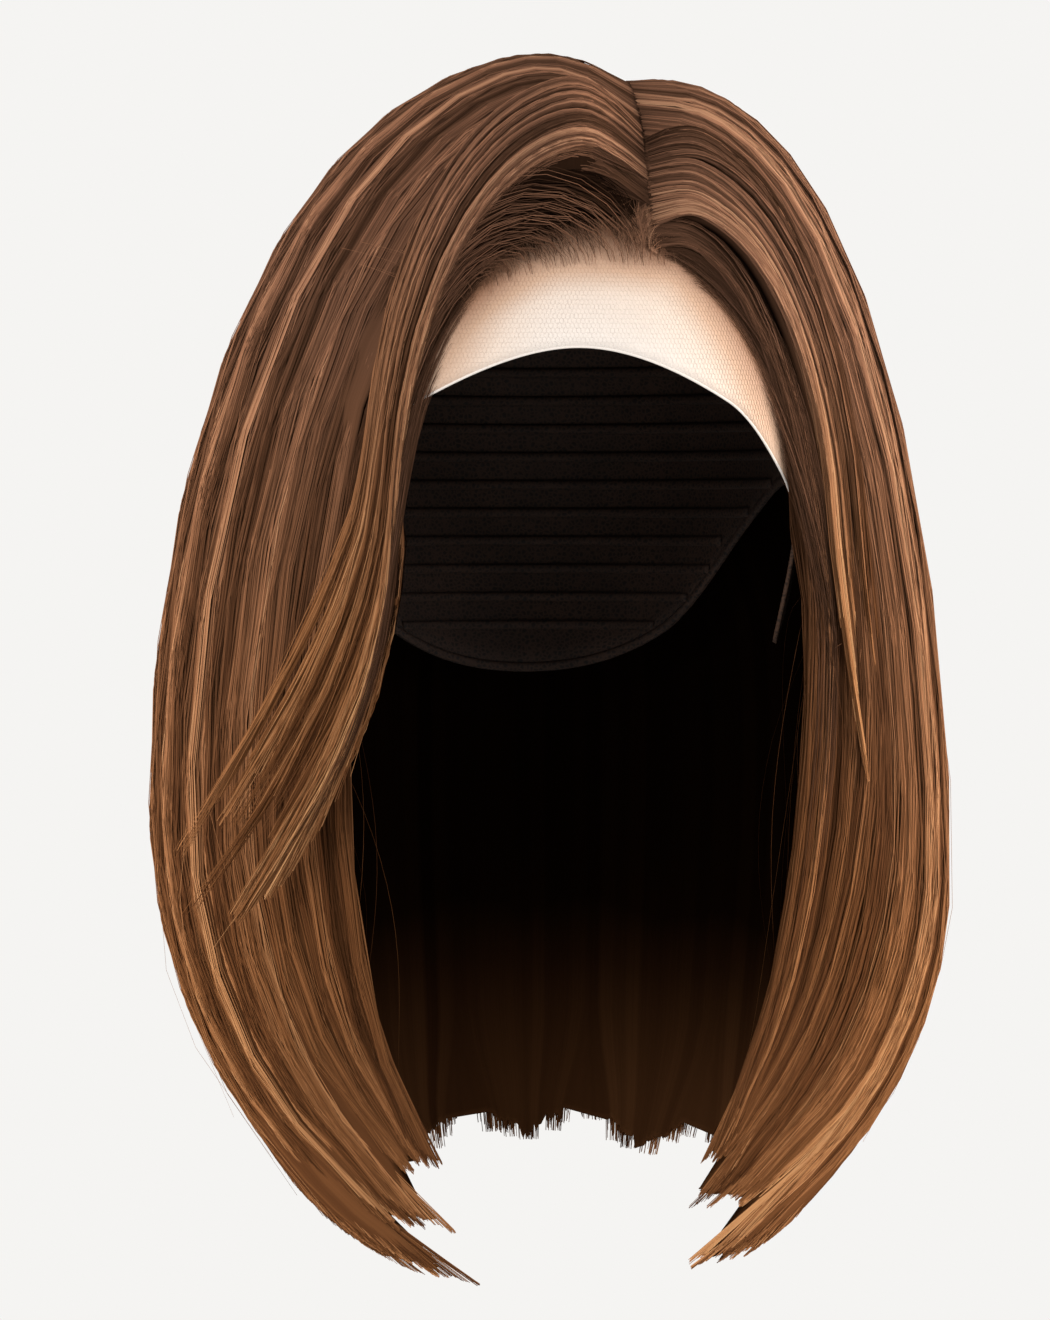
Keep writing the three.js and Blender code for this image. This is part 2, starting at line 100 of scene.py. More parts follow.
# One strand at each angle: it leaves the parting at root_y, root_lift above the cap, rises to crest, reaches
# wide and ends at tip
STRAND_COLUMNS = (
    "angle root_y root_lift crest rise bow fullness flick wide_x wide_y wide_z tip_x tip_y tip_z"
)
MAIN_STRANDS = table(
    STRAND_COLUMNS,
    [
        (37, -68, 1, -18, 0.45, 24, 2.5, 0, -66, -48, -190, -35, -54, -313),
        (60, -50, 4, 7, 0.4, 16, 2.5, 0, -99, -30, -205, -26, -60, -335),
        (90, -14, 9, 19, 0.26, 0, 2.6, 0, -122, 12, -211, -23, -60, -352),
        (125, 30.5, 9, 15.5, 0.24, 0, 2.6, 0, -108, 66, -205, -60, 34, -338),
        (152, 30, 9, 15, 0.24, 0, 2.6, 0, -62, 106, -195, -42, 70, -330),
        (180, 30, 9, 14, 0.24, 0, 2.6, 0, 0, 119, -190, 0, 84, -326),
        (208, 30, 9, 12, 0.24, 0, 2.6, 0, 62, 106, -195, 42, 70, -330),
        (235, 30.5, 9, 11, 0.24, 0, 2.55, 0, 110, 66, -205, 60, 34, -338),
        (270, -14, 9.5, 8.5, 0.22, 0, 2.55, 0, 126, 12, -234, 26, -60, -351),
        (300, -52, 5, -13, 0.26, 2, 2.4, 0, 102, -28, -205, 27, -60, -329),
        (323, -76, 0, -43, 0.3, 10, 2.2, 0, 75, -44, -150, 37, -54, -314),
    ],
)
RIGHT_SWEEP = table(
    STRAND_COLUMNS,
    [
        (0, -62, 2, -13, 0.42, 24, 2.6, 2, -52, -74, -128, -110, -44, -262),
        (0.5, -54, 3.5, -3, 0.42, 22, 2.55, 1.6, -56, -73, -118, -116, -38, -245),
        (1, -44, 5.5, 9, 0.4, 20, 2.5, 1.3, -62, -68, -108, -119, -24, -226),
    ],
)
LEFT_SWEEP = table(
    STRAND_COLUMNS,
    [
        (0, -50, 5, -6, 0.26, 8, 2.3, 1.4, 96, -32, -135, 119, -6, -246),
        (1, -72, 0.5, -34, 0.3, 12, 2.2, 1.3, 79, -46, -120, 111, -26, -262),
    ],
)
PARTING_ANGLE = 18  # where the parting meets the hairline, from the middle of the forehead
HAIRLINE = table("angle height", [(-36, -67), (-20, -56), (-4, -50), (18, -48)])
ROLL = {"recess": 4, "sink": 3, "sweep_at": 0.12, "sweep_from": 0.003, "sweep_to": 0.32}

# Panels of hair. Their ends gather at tips, from which the hem rises over tip_reach: to greater angles where
# behind is 1, to smaller ones where it is -1, and to both sides where it is 0. soft_tip is the share of that
# gathering that strands take part in. ripples is how many soft valleys lie between the larger locks, and
# light the places of lighter or darker locks as angle, half width and strength. free_edges has a 1 for the
# edge, low or high, that no other panel joins.
RIGHT = {
    "strands": MAIN_STRANDS, "side": -1, "from": 37, "to": 125, "front": 37, "free_edges": (1, 0),
    "tips": [38, 58, 78, 102, 118], "tip_reach": 26, "behind": 1,
    "ripples": 7, "light": [(58, 2, 0.2), (70, 2, 0.2), (84, 3, 0.15), (95, 10, 0.15)],
}
BACK = {
    "strands": MAIN_STRANDS, "side": 0, "from": 125, "to": 235, "free_edges": (0, 0),
    "tips": [136, 158, 180, 202, 224], "tip_reach": 22, "behind": 0, "soft_tip": 0.3,
    "ripples": 8, "light": [(145, 3, 0.2), (164, 3, 0.2), (190, 2, 0.2), (204, 3, 0.2)],
}
LEFT = {
    "strands": MAIN_STRANDS, "side": 1, "from": 235, "to": 323, "front": 323, "free_edges": (0, 1),
    "tips": [242, 258, 282, 303, 322], "tip_reach": 26, "behind": -1,
    # the darker lock at 309 is painted shade beside the front of the parting
    "ripples": 7, "light": [(309, 8, -0.12), (296, 2, 0.15), (279, 11, 0.2), (262, 4, 0.15)],
}
RIGHT_FRONT = {
    "strands": RIGHT_SWEEP, "side": -1, "from": 0, "to": 1, "layer": 7, "free_edges": (1, 1),
    "tips": [0.1, 0.5, 0.9], "tip_reach": 0.2, "behind": 0, "soft_tip": 0.4,
    # the lock at 0.08 is a painted highlight on the front edge of the sweep, where it catches the light
    "ripples": 3, "light": [(0.75, 0.2, 0.2), (0.08, 0.14, 0.35)],
}
LEFT_FRONT = {
    "strands": LEFT_SWEEP, "side": 1, "from": 0, "to": 1, "layer": 6, "free_edges": (1, 1),
    "tips": [0.2, 0.8], "tip_reach": 0.3, "behind": 0, "soft_tip": 0.4,
    "ripples": 2, "light": [(0.9, 0.4, 0.32)],
}

# Sizes of what is added here

STRAND_RADIUS = 0.18
STRAND_FLATNESS = 0.6  # thickness of a strand as a share of its width
STRAND_ROUND = 0.35  # how far its shading turns with its own round
LOCK_ROUND = 0.3  # and with that of its lock
STRAY_RADIUS = 0.1
NOISE_PLACES = 1000  # range of the places that strands take in the noise of their material

STATIONS = 17  # points along a strand
SHORT_STATIONS = 13  # and along a short one
DENSE = 110  # points at which a strand's way is worked out first
DENSE_SHARES = np.linspace(0, 1, DENSE) ** 1.6  # closer together at the root
EASE_PASSES = 30  # how often a strand's way is rounded off
BEND_WEIGHT = 2.6  # how much closer the points lie where a strand bends

ROOT_SPREAD = 1.1  # strands leave the parting up to this far from its middle
ROOT_SHARE = 0.05  # share of a strand's length in which it comes from there to the panel's form
ROOT_FLAT = 0.12  # and in which locks gain their full depth
EDGE_FLAT = 0.03  # and the strands that fill an edge theirs
PARTING_SHOWN = 0.5  # strands leave the parting this much farther out where its lace shows
PARTING_SHOWN_Y = -46  # middle of that place
PARTING_SHOWN_HALF = 14
PARTING_COVER = 2.0  # short hairs pass this far over the front end of the parting's lace

LOCK_JITTER = 0.3  # how far a lock may lie off its even place, as a share of their pitch
LOCK_HALF = 0.65  # half width of a lock, as a share of their pitch
LOCK_BOW = 0.9  # how much deeper the sides of a lock lie than its middle
LOCK_TONE = 0.04  # how far locks differ in tone
STRAND_DEPTH = 0.7  # how far strands of a lock differ in depth
STRAND_TONE = 0.07  # and in tone
STRAND_ENDS = 0.012  # and in length
SWING_PACE = 5  # radians of a lock's swing over its length
SWING_EASE = 0.3  # share of the length in which it sets in
OWN_SWING = 0.25  # a strand's own swing, as a share of the locks' pitch
OWN_PACE = 4
OWN_EASE = 0.2
END_FROM = 0.6  # where ends start to curl off or to sink
TAPER_FROM = 0.88  # where strands start to taper
SEAM_HOLD = 10.0  # degrees beside a seam of two panels in which hair isn't drawn to a tip

RIPPLE_DEPTH = 1.5  # depth of the soft valleys between the larger locks
RIPPLE_WAVES = [(0.3, 1, 0), (0.2, 2.37, 1.3)]  # strength, pace and start of the waves that make them
RIPPLE_PAINTED_SHADE = 0.3  # painted shade: how much darker they are, and the locks between them lighter
STREAKS = [(4, 0.08), (9, 0.09), (20, 0.08), (43, 0.06)]  # how many lie on a panel, and their strength

BASE_SINK = 2.6  # the under-layer lies this far inside the strands
BASE_ROOT_SINK = 1.8  # and this many times as far at their roots
BASE_RIDGE = 0.8  # height of its narrow locks
BASE_INSET = 0.05  # share of a panel's width that it keeps back from free edges
HEM_DEPTH = 6.5  # least depth of its inner side towards the ends
INSIDE_SHADE = 0.03  # share of light that its inner side keeps
HEM_SHADE = 0.5  # and keeps at the hem
HEM_SHADE_FROM = 0.75

# Hairs at the hairline, with feet that start low under it and fill a band upwards
ROLL_HAIR = {"low": 3, "band": 20, "rise": 14, "more_behind": 12, "front_depth": 1, "back_depth": 8}
BABY_HAIR = {"low": 5, "band": 11, "from": -38, "to": 26, "shortest": 6, "longest": 20}
BABY_HAIR_AT_PARTING = 0.25  # share of the short hairs that cover the front end of the parting

LACE_FILM_OUTSIDE = 0.8  # heights of the lace's film over the head
LACE_FILM_INSIDE = 0.4
TAN_SHARE = 0.24  # how much darker the lace is at the edge of the hair
TAN_REACH = 14  # and how far from it that ends
SIDE_PAINTED_SHADE = {"share": 0.4, "from": 18, "over": 30, "sooner_on_right": 14}  # painted shade that darkens the lace at the sides, in degrees
NET_PITCH = 1.5
NET_RADIUS = 0.15
NET_FROM = 0.35  # share of the lace's depth, from its seam, that the hair hides and the net leaves out
CAP_COLUMNS = 120
CAP_ROWS = 34
WEFTS = {"lowest": -158, "highest": -20, "pitch": 9, "from": 98, "half_width": 1.7, "half_depth": 0.9}
BINDING = {"half_width": 1.5, "half_depth": 1.1, "inside_edge": 0.012}

# Screen colours: of the hair over its tone, upper and lower, and of the lace over its paleness

HAIR_TONES = [0, 0.35, 0.6, 0.85, 1]
UPPER_HAIR = [(27, 17, 11), (61, 41, 29), (88, 61, 46), (131, 92, 70), (156, 116, 89)]
LOWER_HAIR = [(33, 18, 9), (77, 47, 27), (107, 69, 41), (149, 102, 66), (175, 129, 88)]
DARK_ROOTS = [(0, 0.6), (0.01, 0.8), (0.05, 0.95), (0.3, 1.0)]  # share of light over the length
LACE_TONES = [0, 0.35, 0.55, 0.75, 1]
LACE_COLOURS = [(90, 60, 42), (142, 101, 75), (186, 154, 130), (208, 191, 177), (213, 204, 196)]
PALE = (245, 244, 242)

# The studio: its floor in millimetres, and in metres the camera and the place, aim and size of each light,
# which also has a power and a tint

FLOOR_HEIGHT = -395.0
FLOOR_HALF = 60000.0
WHITE = (1, 1, 1)
WARM = (1, 0.9, 0.8)
LIGHTS = [
    ("key", (-0.9, -1.5, 0.75), (0, 0, -0.15), 1.1, 22, WHITE),
    ("fill", (1.1, -1.3, 0.3), (0, 0, -0.15), 1.0, 15, WHITE),
    ("crown", (0.1, 0.4, 1.3), (0, 0, -0.1), 0.9, 7, WHITE),
    ("rim_right", (-1.35, 0.35, 0.05), (0, 0, -0.15), 0.9, 22, WARM),
    ("rim_left", (1.35, 0.25, 0.05), (0, 0, -0.15), 0.9, 30, WARM),
]
SURROUND_LIGHT = 0.5
CAMERA = {
    "azimuth": -5, "elevation": 1.5, "distance": 1.6, "lens": 144, "aim_z": -0.1667, "aim_left": 0.0076,
}


# Curves and surfaces


def smooth(t):
    t = np.clip(t, 0, 1)
    return t * t * (3 - 2 * t)


def lerp(a, b, t):
    return a + (b - a) * t


def late(along, start):
    """0 up to a share of the length, then rising smoothly to 1 at its end."""
    return smooth((along - start) / (1 - start))


def unit(vectors):
    return vectors / np.maximum(np.linalg.norm(vectors, axis=-1, keepdims=True), 1e-9)


def through(rows, name, at):
    """Smooth curve through one column of a table, read at values of its angle column."""
    angles, values = rows["angle"], rows[name]
    at = np.asarray(at, float)
    last = len(angles) - 1
    before = np.maximum(np.arange(last + 1) - 1, 0)
    after = np.minimum(np.arange(last + 1) + 1, last)
    slope = (values[after] - values[before]) / (angles[after] - angles[before])
    i = np.clip(np.searchsorted(angles, at) - 1, 0, last - 1)
    span = angles[i + 1] - angles[i]
    t = np.clip((at - angles[i]) / span, 0, 1)
    bend = span * t * (1 - t) * ((1 - t) * slope[i] - t * slope[i + 1])
    return lerp(values[i], values[i + 1], smooth(t)) + bend


def head_point(angle, polar, grown):
    """Point of the head's form, grown by a wall, at an angle from the front and a polar one from the top."""
    height = np.where(np.cos(polar) >= 0, HEAD_CROWN_HEIGHT, HEAD_LOWER_HEIGHT) + grown
    depth = np.where(np.cos(angle) >= 0, HEAD_FRONT_DEPTH, HEAD_BACK_DEPTH) + grown
    x = (HEAD_HALF_BREADTH + grown) * np.sin(polar) * np.sin(angle)
    y = -depth * np.sin(polar) * np.cos(angle)
    z = -HEAD_CROWN_HEIGHT + height * np.cos(polar)
    return np.stack(np.broadcast_arrays(x, y, z), -1)


def polar_at(z):
    above = np.asarray(z, float) + HEAD_CROWN_HEIGHT
    return np.arccos(above / np.where(above >= 0, HEAD_CROWN_HEIGHT, HEAD_LOWER_HEIGHT))


def head_top(x, y, grown):
    """Height of the grown head above a point in plan."""
    depth = np.where(y < 0, HEAD_FRONT_DEPTH, HEAD_BACK_DEPTH) + grown
    flat = 1 - (x / (HEAD_HALF_BREADTH + grown)) ** 2 - (y / depth) ** 2
    return -HEAD_CROWN_HEIGHT + (HEAD_CROWN_HEIGHT + grown) * np.sqrt(np.maximum(flat, 0))


def axis_point(point):
    axis = np.zeros_like(point)
    axis[..., 2] = np.minimum(point[..., 2], -HEAD_CROWN_HEIGHT)
    return axis


def head_ratio(point, grown):
    """How far out a point lies: 1 on the grown head, along the way to its axis point."""
    x, y, z = np.moveaxis(point, -1, 0)
    above = z + HEAD_CROWN_HEIGHT
    depth = np.where(y < 0, HEAD_FRONT_DEPTH, HEAD_BACK_DEPTH) + grown
    ring = np.hypot(x / (HEAD_HALF_BREADTH + grown), y / depth)
    low = 1 - (above / (HEAD_LOWER_HEIGHT + grown)) ** 2
    below = ring / np.sqrt(np.maximum(low, 0.01))
    return np.where(above >= 0, np.hypot(ring, above / (HEAD_CROWN_HEIGHT + grown)), below)


def depth_over(point, grown):
    """Distance from a point of the hair inwards to the grown head."""
    return np.linalg.norm(point - axis_point(point), axis=-1) * (1 - 1 / head_ratio(point, grown))


def clear_of_head(point, grown):
    """The same points, moved out of the cap where they lie inside its grown form."""
    least = head_ratio(point, grown)
    inside = (least < 1) & (point[..., 2] >= LACE_EDGES["rim"][-1])
    axis = axis_point(point)
    moved = axis + (point - axis) / np.where(inside, least, 1)[..., None]
    return np.where(inside[..., None], moved, point)


def lift(point, height):
    """Points moved outwards from the head's axis."""
    return point + unit(point - axis_point(point)) * np.asarray(height)[..., None]


def row_at(panel, angle):
    """The row of a panel's table at angles, also between those of the table."""
    row = {name: through(panel["strands"], name, angle) for name in panel["strands"]}
    row["angle"] = angle
    return row


def root_of(panel, row):
    """Where strands leave the cap: at the parting, or for the back at the ring at its end."""
    turn = np.radians(row["angle"])
    inset = np.where(row["flick"] > 0, SWEEP_INSET, 0)
    if panel["side"]:
        x = PARTING_X + panel["side"] * (PARTING_HALF_WIDTH + inset)
        y = row["root_y"]
    else:
        x = PARTING_X - CROWN_ROOT_RADIUS * np.sin(turn)
        y = PARTING_BACK_Y - CROWN_ROOT_RADIUS * np.cos(turn)
    on_cap = head_top(x, y, CAP_WALL + HAIR_SEAT_GAP + HAIR_LEAST + inset)
    return np.stack([x, y, on_cap + row["root_lift"]], -1)


def strand_point(panel, angle, along):
    """Points of a panel's outer form, at angles and at shares of a strand's length."""
    angle, along = np.broadcast_arrays(np.asarray(angle, float), np.asarray(along, float))
    row = row_at(panel, angle)
    root = root_of(panel, row)
    wide = np.stack([row["wide_x"], row["wide_y"], row["wide_z"]], -1)
    tip = np.stack([row["tip_x"], row["tip_y"], row["tip_z"]], -1)

    turn = np.clip(along / DOME_SHARE, 0, 1) * math.pi / 2
    reach = np.sin(turn) ** (2 / row["fullness"])
    height = np.maximum(np.cos(turn), 0) ** (2 / (row["fullness"] - FALL_EASE))
    dip = (row["crest"] - root[..., 2]) * np.maximum(1 - reach / row["rise"], 0) ** RISE_POWER
    dome = lerp(root, wide, reach[..., None])
    dome[..., 1] -= row["bow"] * np.sin(math.pi * reach)
    dome[..., 2] = lerp(row["wide_z"], row["crest"], height) - dip

    drop = np.clip((along - DOME_SHARE) / (1 - DOME_SHARE), 0, 1)
    under = 1 - (1 - drop**2) ** TURN_UNDER
    flicked = drop ** np.maximum(row["flick"], 0.1)
    fall = lerp(wide, tip, np.where(row["flick"] > 0, flicked, under)[..., None])
    fall[..., 2] = lerp(row["wide_z"], row["tip_z"], drop)

    point = np.where((along < DOME_SHARE)[..., None], dome, fall)
    return clear_of_head(point, CAP_WALL + HAIR_SEAT_GAP + HAIR_LEAST)


def layer_at(panel, angle, along, z):
    """Depth of the layer of hair: thinner where it hangs, at a front edge and at its tips."""
    hanging = smooth((-HEAD_CROWN_HEIGHT - z) / CURTAIN_REACH)
    edge = np.abs(angle - panel["front"]) / HAIR_EDGE_ANGLE if "front" in panel else np.ones_like(angle)
    full = panel.get("layer", lerp(HAIR_FULL, HAIR_CURTAIN, hanging))
    tip_share = lerp(1, HAIR_TIP_SHARE, smooth((along - HAIR_TIP_FROM) / HAIR_TIP_OVER))
    return full * lerp(HAIR_EDGE_SHARE, 1, smooth(edge)) * tip_share


def tip_of(panel, angle):
    """The tip that hair at an angle gathers to, and how far it lies off: 0 at the tip, 1 at the end of its
    reach."""
    tips = np.array(panel["tips"], float)
    off = np.asarray(angle)[..., None] - tips
    apart = np.where(off * panel["behind"] >= -TIP_LEAD, np.abs(off), np.inf)
    tip = tips[np.argmin(apart, -1)]
    return tip, np.clip(np.abs(angle - tip) / panel["tip_reach"], 0, 1)


def gathered(panel, angle, tip, along):
    """Angles drawn towards a tip at the end of the hair, but not beside an edge that another panel joins."""
    low_free, high_free = panel["free_edges"]
    to_low = np.where(low_free, np.inf, angle - panel["from"])
    to_high = np.where(high_free, np.inf, panel["to"] - angle)
    drawn = smooth(np.minimum(to_low, to_high) / SEAM_HOLD)
    return lerp(angle, tip, TIP_GATHER * drawn * late(along, TIP_FROM))


def ripple(panel, angle):
    """Soft valleys between the larger locks of a panel, from 0 on a lock to 1 in a valley."""
    turn = 2 * math.pi * panel["ripples"] * (angle - panel["from"]) / (panel["to"] - panel["from"])
    valley = 0.5
    for strength, pace, start in RIPPLE_WAVES:
        valley = valley + strength * np.sin(pace * turn + start)
    return valley


def tone_over(panel, angle, rng):
    """Tone of the hair from dark at 0 to light at 1: broad and narrow streaks, painted shade in the valleys
    and painted light on the larger locks between them, and single locks.
    """
    share = (angle - panel["from"]) / (panel["to"] - panel["from"])
    # painted shade in the soft valleys between the larger locks, and painted light on the locks
    tone = 0.5 - RIPPLE_PAINTED_SHADE * (ripple(panel, angle) - 0.5)
    for streaks, strength in STREAKS:
        tone = tone + strength * np.sin(2 * math.pi * (streaks * share + rng.random()))
    for place, half, strength in panel["light"]:
        tone = tone + strength * np.exp(-(((angle - place) / half) ** 2))
    return tone


# Meshes


def mesh_object(name, vertices, faces, material, attributes=None, uv=None, normals=None):
    """Object of a mesh given by arrays: vertices in millimetres, and groups of faces with equal corners."""
    mesh = bpy.data.meshes.new(name)
    corners = np.concatenate([group.ravel() for group in faces])
    sizes = np.concatenate([np.full(len(group), group.shape[1]) for group in faces])
    starts = np.concatenate([[0], np.cumsum(sizes)[:-1]])
    mesh.vertices.add(len(vertices))
    mesh.vertices.foreach_set("co", (vertices * MM).astype(np.float32).ravel())
    mesh.loops.add(len(corners))
    mesh.loops.foreach_set("vertex_index", corners.astype(np.int32))
    mesh.polygons.add(len(sizes))
    mesh.polygons.foreach_set("loop_start", starts.astype(np.int32))
    for key, values in (attributes or {}).items():
        layer = mesh.attributes.new(key, "FLOAT", "POINT")
        layer.data.foreach_set("value", values.astype(np.float32).ravel())
    if uv is not None:
        mesh.uv_layers.new(name="OFBake").data.foreach_set("uv", uv.astype(np.float32).ravel())
    mesh.update(calc_edges=True)
    mesh.shade_smooth()
    if normals is not None:
        mesh.normals_split_custom_set(normals.tolist())
    mesh.materials.append(material)
    made = bpy.data.objects.new(name, mesh)
    bpy.context.scene.collection.objects.link(made)
    return made


def placed(made, slot, *nodes):
    """A piece that stands for CAD nodes: it is attached to the root body, and the nodes are hidden. Its slot
    is not used.
    """
    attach(made, "root")
    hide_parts(*nodes)


def shell_faces(rows, columns, ring=False):
    """Faces of a closed shell: an outer grid of vertices, then an inner one of the same size."""
    wraps = columns if ring else columns - 1
    i, j = np.meshgrid(np.arange(rows - 1), np.arange(wraps), indexing="ij")
    k = (j + 1) % columns
    a, b, c, d = i * columns + j, (i + 1) * columns + j, (i + 1) * columns + k, i * columns + k
    inner = rows * columns
    outside = np.stack([a, b, c, d], -1).reshape(-1, 4)
    inside = np.stack([a, d, c, b], -1).reshape(-1, 4) + inner
    j = np.arange(wraps)
    k = (j + 1) % columns
    low = (rows - 1) * columns
    top_edge = np.stack([j, k, k + inner, j + inner], -1)
    low_edge = np.stack([low + j, low + j + inner, low + k + inner, low + k], -1)
    groups = [outside, inside, top_edge, low_edge]
    if not ring:
        i = np.arange(rows - 1) * columns
        end = i + columns - 1
        groups.append(np.stack([i, i + inner, i + columns + inner, i + columns], -1))
        groups.append(np.stack([end, end + columns, end + columns + inner, end + inner], -1))
    return np.concatenate(groups)


def shell(name, outer, inner, material, attributes=None, ring=False, turned=False):
    """Closed shell between an outer and an inner grid of points. Attributes hold values for both grids, and
    turned is for grids whose columns run the other way."""
    rows, columns = outer.shape[:2]
    faces = shell_faces(rows, columns, ring)
    if turned:
        faces = faces[:, ::-1]
    vertices = np.concatenate([outer.reshape(-1, 3), inner.reshape(-1, 3)])
    on_points = {}
    for key, values in (attributes or {}).items():
        on_points[key] = np.broadcast_to(values, (2, rows, columns))
    return mesh_object(name, vertices, [faces], material, on_points)


def square_to(tangent, outward):
    """Outward directions made square to a path, and the directions beside it."""
    outward = unit(outward - tangent * np.sum(outward * tangent, -1, keepdims=True))
    return outward, np.cross(tangent, outward)


def strip_map(count, stations):
    """Bake map of closed three-sided tubes, with a strip for each."""
    strip_columns = 4
    margin_u, margin_v = 0.02, 0.2
    strip_rows = -(-count // strip_columns)
    low_u = (np.arange(count) % strip_columns + margin_u) / strip_columns
    low_v = (np.arange(count) // strip_columns + margin_v) / strip_rows
    wide_u = (1 - 2 * margin_u) / strip_columns
    high_v = (1 - 2 * margin_v) / strip_rows
    u = low_u[:, None] + wide_u * np.linspace(0, 1, stations)
    v = np.broadcast_to(low_v[:, None], (count, stations - 1))
    quads = np.stack([u[:, :-1], v, u[:, 1:], v, u[:, 1:], v + high_v, u[:, :-1], v + high_v], -1)
    quads = np.repeat(quads.reshape(count, stations - 1, 1, 4, 2), 3, 2).reshape(-1, 2)
    step = wide_u / stations
    caps = []
    for end_u, beside_u in ((u[:, 0], u[:, 0] + step), (u[:, -1], u[:, -1] - step)):
        corners = np.stack([end_u, low_v, end_u, low_v + high_v, beside_u, low_v], -1)
        caps.append(corners.reshape(-1, 2))
    return np.concatenate([quads, *caps])


def tube_mesh(name, strands, material):
    """Closed three-sided tubes along the paths of strands. Their two outer sides are shaded with the round
    of their locks, and the third looks inwards."""
    paths = strands["paths"]
    count, stations = paths.shape[:2]
    tangent = unit(np.gradient(paths, axis=1))
    outward, beside = square_to(tangent, paths - axis_point(paths))
    turns = np.radians([90, 210, 330])
    radius = strands["radius"][..., None]
    ring = [math.cos(t) * beside + STRAND_FLATNESS * math.sin(t) * outward for t in turns]
    vertices = np.stack([paths + radius * way for way in ring], 2).reshape(-1, 3)
    lock_side = outward + LOCK_ROUND * strands["round"][:, None, None] * beside

    first = (np.arange(count)[:, None] * stations + np.arange(stations - 1)) * 3
    quads, normals = [], []
    for side, facing in enumerate((1, -1, 1)):
        following = (side + 1) % 3
        a, b = first + side, first + following
        quads.append(np.stack([a, a + 3, b + 3, b], -1))
        at_a = unit(facing * lock_side + STRAND_ROUND * ring[side])
        at_b = unit(facing * lock_side + STRAND_ROUND * ring[following])
        normals.append(np.stack([at_a[:, :-1], at_a[:, 1:], at_b[:, 1:], at_b[:, :-1]], 2))
    quads = np.stack(quads, 2).reshape(-1, 4)
    normals = np.stack(normals, 2).reshape(-1, 3)
    ends = [np.repeat(-tangent[:, 0], 3, 0), np.repeat(tangent[:, -1], 3, 0)]
    normals = np.concatenate([normals, *ends])
    root = np.arange(count) * stations * 3
    tip = root + (stations - 1) * 3
    roots = np.stack([root, root + 1, root + 2], -1)
    tips = np.stack([tip, tip + 2, tip + 1], -1)

    attributes = {"along": np.repeat(strands["along"], 3, 1)}
    for key in ("tone", "across", "shade"):
        attributes[key] = np.repeat(strands[key], stations * 3)
    uv = strip_map(count, stations)
    return mesh_object(name, vertices, [quads, roots, tips], material, attributes, uv, normals)


# Strands


def strand_path(panel, angle, along, apart):
    """Points of single strands: the panel's form, but rooted apart from the middle of the parting."""
    row = row_at(panel, angle)
    root = root_of(panel, row)
    turn = np.radians(angle)
    if panel["side"]:
        y = row["root_y"]
        shown = 1 - smooth(np.abs(y - PARTING_SHOWN_Y) / PARTING_SHOWN_HALF)
        x = PARTING_X + panel["side"] * (apart + PARTING_SHOWN * shown)
    else:
        x = PARTING_X - apart * np.sin(turn)
        y = PARTING_BACK_Y - apart * np.cos(turn)
    on_lace = head_top(x, y, CAP_WALL + SEAM_GAP + PARTING_LACE_WALL + STRAND_RADIUS)
    closed = np.stack([x, y, on_lace + row["root_lift"]], -1)
    near = 1 - smooth(along / ROOT_SHARE)
    return strand_point(panel, angle, along) + (closed - root) * near[..., None]


def eased(paths):
    """Dense paths with their sharp bends rounded off, and their ends where they were."""
    for _ in range(EASE_PASSES):
        paths[:, 1:-1] = 0.5 * paths[:, 1:-1] + 0.25 * (paths[:, :-2] + paths[:, 2:])
    return paths


def bend_places(paths):
    """Places from 0 to 1 along dense paths, counted by length and by how much they bend."""
    steps = np.diff(paths, axis=1)
    length = np.linalg.norm(steps, axis=-1)
    way = unit(steps)
    bend = np.arccos(np.clip(np.sum(way[:, 1:] * way[:, :-1], -1), -1, 1))
    weight = length / length.sum(1, keepdims=True)
    weight[:, 1:] += BEND_WEIGHT * bend / bend.sum(1, keepdims=True)
    places = np.concatenate([np.zeros((len(paths), 1)), np.cumsum(weight, 1)], 1)
    return places / places[:, -1:]


def stationed(paths, along, shift):
    """Dense paths and their shares of length cut down to the stations, which lie closer where a path bends
    and are shifted by a share of a step."""
    wanted = np.tile(np.linspace(0, 1, STATIONS), (len(paths), 1))
    wanted[:, 1:-1] += shift[:, None] / (STATIONS - 1)
    values = np.concatenate([paths, along[..., None]], -1)
    picked = np.empty((len(paths), STATIONS, 4))
    for i, places in enumerate(bend_places(paths)):
        for j in range(4):
            picked[i, :, j] = np.interp(wanted[i], places, values[i, :, j])
    return picked[..., :3], picked[..., 3]


def strand_group(paths, radius, along, tone, across, roundness=0.0):
    """Strands as tube_mesh takes them. across is their place in the noise of the material, and roundness how
    far they lie to the side of their lock."""
    count = len(paths)
    return {
        "paths": paths,
        "radius": radius,
        "along": np.broadcast_to(along, paths.shape[:2]),
        "tone": np.clip(tone, 0, 1),
        "across": across,
        "shade": np.ones(count),
        "round": np.broadcast_to(roundness, count),
    }


